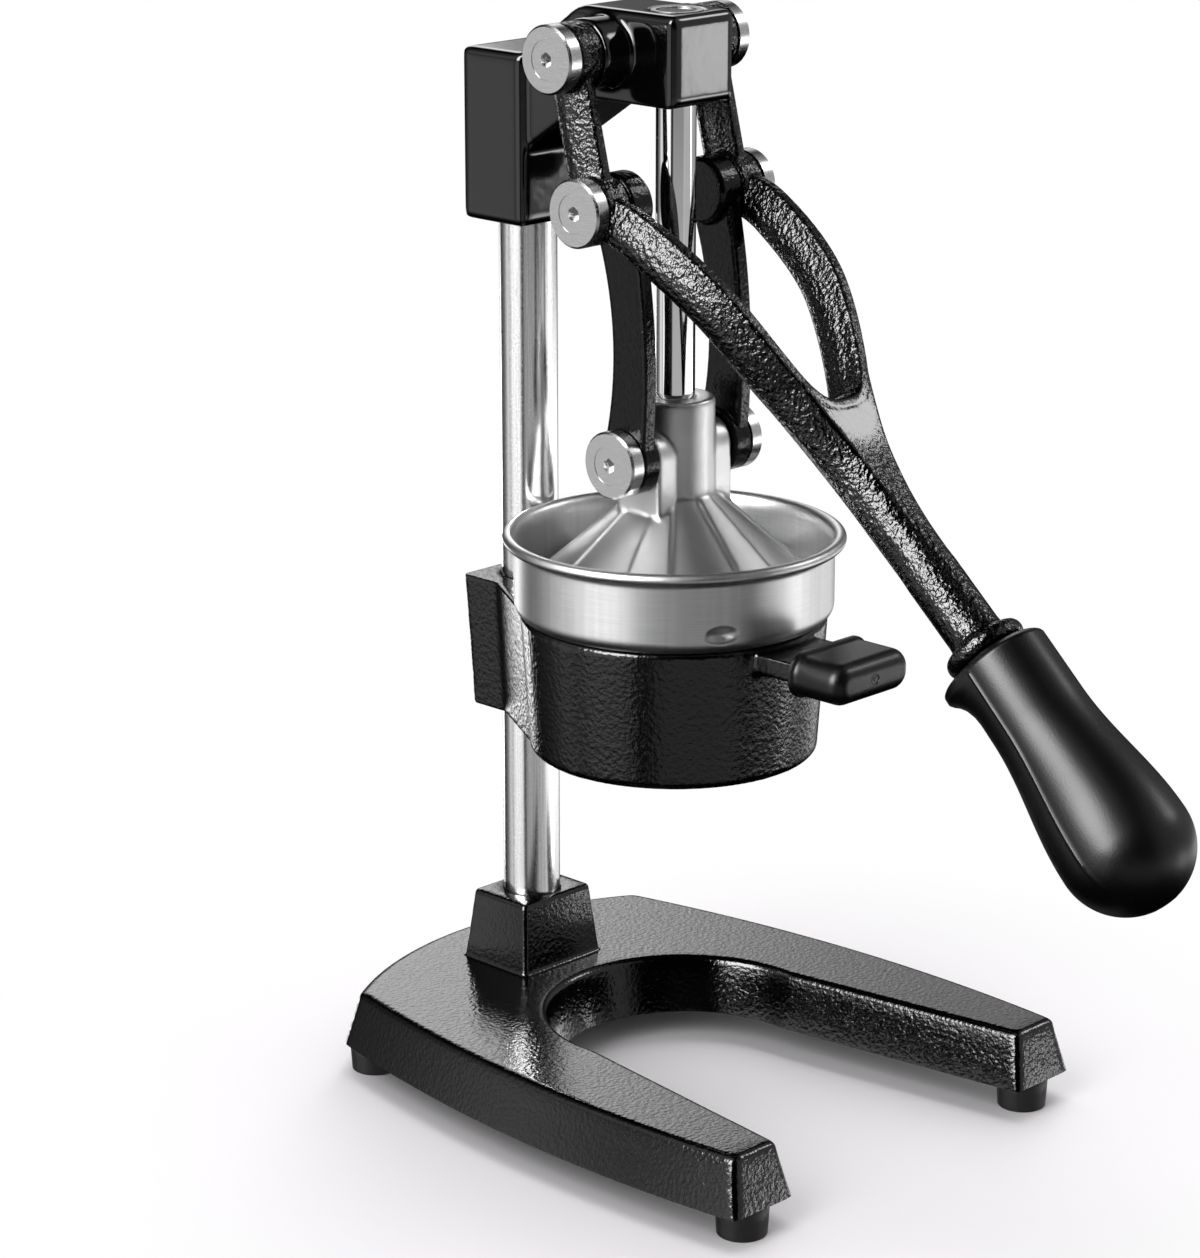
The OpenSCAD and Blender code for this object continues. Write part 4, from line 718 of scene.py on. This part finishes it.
seen = shader_node(tree, "ShaderNodeLightPath").outputs
spot = shader_node(tree, "ShaderNodeTexCoord").outputs["Object"]
floor_middle, shade_end, white_start = (0.0, press_y - 0.01, 0.0), 0.14, 0.3
far = shader_node(tree, "ShaderNodeVectorMath", {0: spot, 1: floor_middle}, operation="DISTANCE")
fade = shader_node(tree, "ShaderNodeMapRange",
                   {"Value": far.outputs["Value"], "From Min": shade_end, "From Max": white_start},
                   interpolation_type="SMOOTHSTEP").outputs["Result"]
matt = shader_node(tree, "ShaderNodeBsdfDiffuse", {"Color": (0.8, 0.78, 0.8, 1)}).outputs[0]
white = shader_node(tree, "ShaderNodeEmission", {"Color": (1, 1, 1, 1), "Strength": 1.0}).outputs[0]
gone = shader_node(tree, "ShaderNodeBsdfTransparent").outputs[0]
plain = mixed_shader(tree, seen["Is Camera Ray"], matt, mixed_shader(tree, fade, matt, white))
whole = mixed_shader(tree, seen["Is Glossy Ray"], plain, gone)
shader_node(tree, "ShaderNodeOutputMaterial", {"Surface": whole})
floor.data.materials.append(paper)

world = bpy.data.worlds.new("studio")
world.use_nodes = True
bpy.context.scene.world = world
tree = world.node_tree
tree.nodes.clear()
seen = shader_node(tree, "ShaderNodeLightPath").outputs
way = shader_node(tree, "ShaderNodeTexCoord").outputs["Generated"]
rightward, toward = (shader_node(tree, "ShaderNodeVectorMath", {0: way, 1: side}, operation="DOT_PRODUCT")
                     .outputs["Value"] for side in (to_right, to_camera))
bearing = ranged(tree, maths(tree, "ARCTAN2", rightward, toward), 0.0, 1.0, -math.pi, math.pi)
height = shader_node(tree, "ShaderNodeSeparateXYZ", {"Vector": way}).outputs["Z"]
height = ranged(tree, height, 0.0, 1.0, -1.0, 1.0)


def by_stops(value, stops):
    """Level read off a row of (place from 0 to 1, level) stops; a new row has two to start with."""
    ramp = shader_node(tree, "ShaderNodeValToRGB", {"Fac": value})
    row = ramp.color_ramp.elements
    for k, (place, level) in enumerate(stops):
        stop = row[k] if k < 2 else row.new(place)
        stop.position, stop.color = place, (level, level, level, 1)
    return ramp.outputs["Color"]


def panel(bearings, heights):
    """Brightness of one panel: a row of (bearing, level) stops times a row of (elevation, level) stops, in
    degrees. Bearings count from the camera, towards the right of the picture."""
    wide = by_stops(bearing, [((turn + 180) / 360, level) for turn, level in bearings])
    tall = by_stops(height, [((math.sin(math.radians(rise)) + 1) / 2, level) for rise, level in heights])
    return shader_node(tree, "ShaderNodeVectorMath", {0: wide, 1: tall}, operation="MULTIPLY").outputs["Vector"]


back_wall_heights = ((4, 0.04), (11, 0.1), (17, 0.8), (27, 0.8), (36, 0))
panels = {
    "left wall": (1.0, ((-136, 0), (-110, 0.2), (-100, 0.5), (-93, 0.95), (-86, 0.85), (-78, 0.5),
                        (-70, 1.3), (-34, 1.3), (-28, 0.0)),
                  ((-42, 0), (-28, 0.25), (-19, 1), (-8, 1), (0, 0.85), (7, 0.45), (16, 0.8), (54, 1),
                   (62, 0.1))),
    "large box on the left": (19.0, ((-70, 0), (-60, 1), (-36, 1), (-28, 0)),
                              ((4, 0), (12, 1), (46, 1), (54, 0))),
    "low in front": (0.5, ((-22, 0), (-14, 1), (46, 1), (56, 0)), ((-44, 0), (-28, 0.8), (-12, 1), (-5, 0))),
    "right wall": (0.5, ((40, 0), (56, 1), (104, 1), (140, 0.6), (160, 0)),
                   ((-30, 0), (-20, 1), (54, 1), (62, 0))),
    "beam's end": (7.5, ((90.5, 0), (92, 1), (95, 1), (97, 0)), ((-10.5, 0), (-9.6, 1), (-7, 1), (-6, 0))),
    "low on the right": (1.5, ((54, 0), (70, 1), (150, 1), (160, 0)),
                         ((-22, 0), (-18, 1), (-13, 1), (-11.5, 0))),
    "strip low on the right": (5.0, ((90, 0), (93, 1), (99, 1), (102, 0)),
                               ((-22, 0), (-19, 1), (-14, 1), (-12, 0))),
    "block's top": (1.4, ((-179, 0), (-177.5, 1), (-173, 1), (-171, 0)),
                    ((6, 0), (7.5, 1), (10.5, 1), (12, 0))),
    "yoke's web": (8.5, ((98, 0), (103, 1), (114, 1), (119, 0)), ((25, 0), (29, 1), (38, 1), (42, 0))),
    "overhead left": (0.5, ((-120, 0), (-100, 1), (0, 1), (20, 0)), ((54, 0), (62, 1), (82, 1), (90, 0.6))),
    "back wall, right half": (3.4, ((160, 0), (170, 0.28), (176, 0.38), (180, 0.75)), back_wall_heights),
    "back wall, left half": (3.4, ((-180, 0.75), (-177, 1), (-168, 1), (-160, 0.6), (-150, 0)),
                             back_wall_heights),
    "bracket's neck": (5.0, ((-160, 0), (-155, 1), (-147, 1), (-142, 0)),
                       ((-21, 0), (-18, 1), (-13, 1), (-10, 0)))}
mirrored = (0.0, 0.0, 0.0)
for name, (strength, bearings, heights) in panels.items():
    terms = {0: panel(bearings, heights), 1: (strength,) * 3, 2: mirrored}
    mirrored = shader_node(tree, "ShaderNodeVectorMath", terms, operation="MULTIPLY_ADD",
                           label=name).outputs["Vector"]
straight = maths(tree, "MAXIMUM", seen["Is Camera Ray"], seen["Is Transmission Ray"])
backdrop, mirror, ambient = (
    shader_node(tree, "ShaderNodeBackground", {"Color": colour, "Strength": strength}).outputs[0]
    for colour, strength in (((1, 1, 1, 1), 1.0), (mirrored, 1.0), ((1, 1, 1, 1), 0.62)))
polished = mixed_shader(tree, seen["Is Glossy Ray"], ambient, mirror)
shader_node(tree, "ShaderNodeOutputWorld", {"Surface": mixed_shader(tree, straight, polished, backdrop)})


def soft_lamp(name, place, width, height, watts, aim=(0, 0, 0.1)):
    """A rectangular area lamp at `place` that faces `aim` and doesn't show in polished faces."""
    data = bpy.data.lights.new(name, "AREA")
    data.shape, data.size, data.size_y, data.energy = "RECTANGLE", width, height, watts
    lamp = bpy.data.objects.new(name, data)
    back = np.subtract(place, aim)
    back = back / np.linalg.norm(back)
    side = np.cross([0, 0, 1.0], back)
    side /= np.linalg.norm(side)
    turned_to = np.stack([side, np.cross(back, side), back], 1)
    lamp.matrix_world = Matrix(np.block([[turned_to, np.array([place]).T],
                                         [np.zeros((1, 3)), np.ones((1, 1))]]).tolist())
    lamp.visible_glossy = False
    bpy.context.scene.collection.objects.link(lamp)


soft_lamp("key_left", (-1.5, -0.25, 1.25), width=0.9, height=1.2, watts=14.0)
soft_lamp("fill_right", (1.05, 0.55, 0.9), width=0.5, height=1.3, watts=6.0)
soft_lamp("overhead", (0.15, 0.2, 1.7), width=1.2, height=1.2, watts=12.0)

camera_data = bpy.data.cameras.new("photo_camera")
camera_data.lens, camera_data.sensor_width = 113.05, 36.0
camera_data.shift_x, camera_data.shift_y = -0.0099, -0.0161
camera = bpy.data.objects.new("photo_camera", camera_data)
level_run, climb = math.cos(camera_el), math.sin(camera_el)
upward = (-math.sin(camera_az) * climb, math.cos(camera_az) * climb, level_run)
backward = (to_camera[0] * level_run, to_camera[1] * level_run, climb)
camera.matrix_world = Matrix([*zip(to_right, upward, backward, camera_place), (0, 0, 0, 1)])
bpy.context.scene.collection.objects.link(camera)
bpy.context.scene.camera = camera
bpy.context.scene.view_settings.view_transform = "Standard"
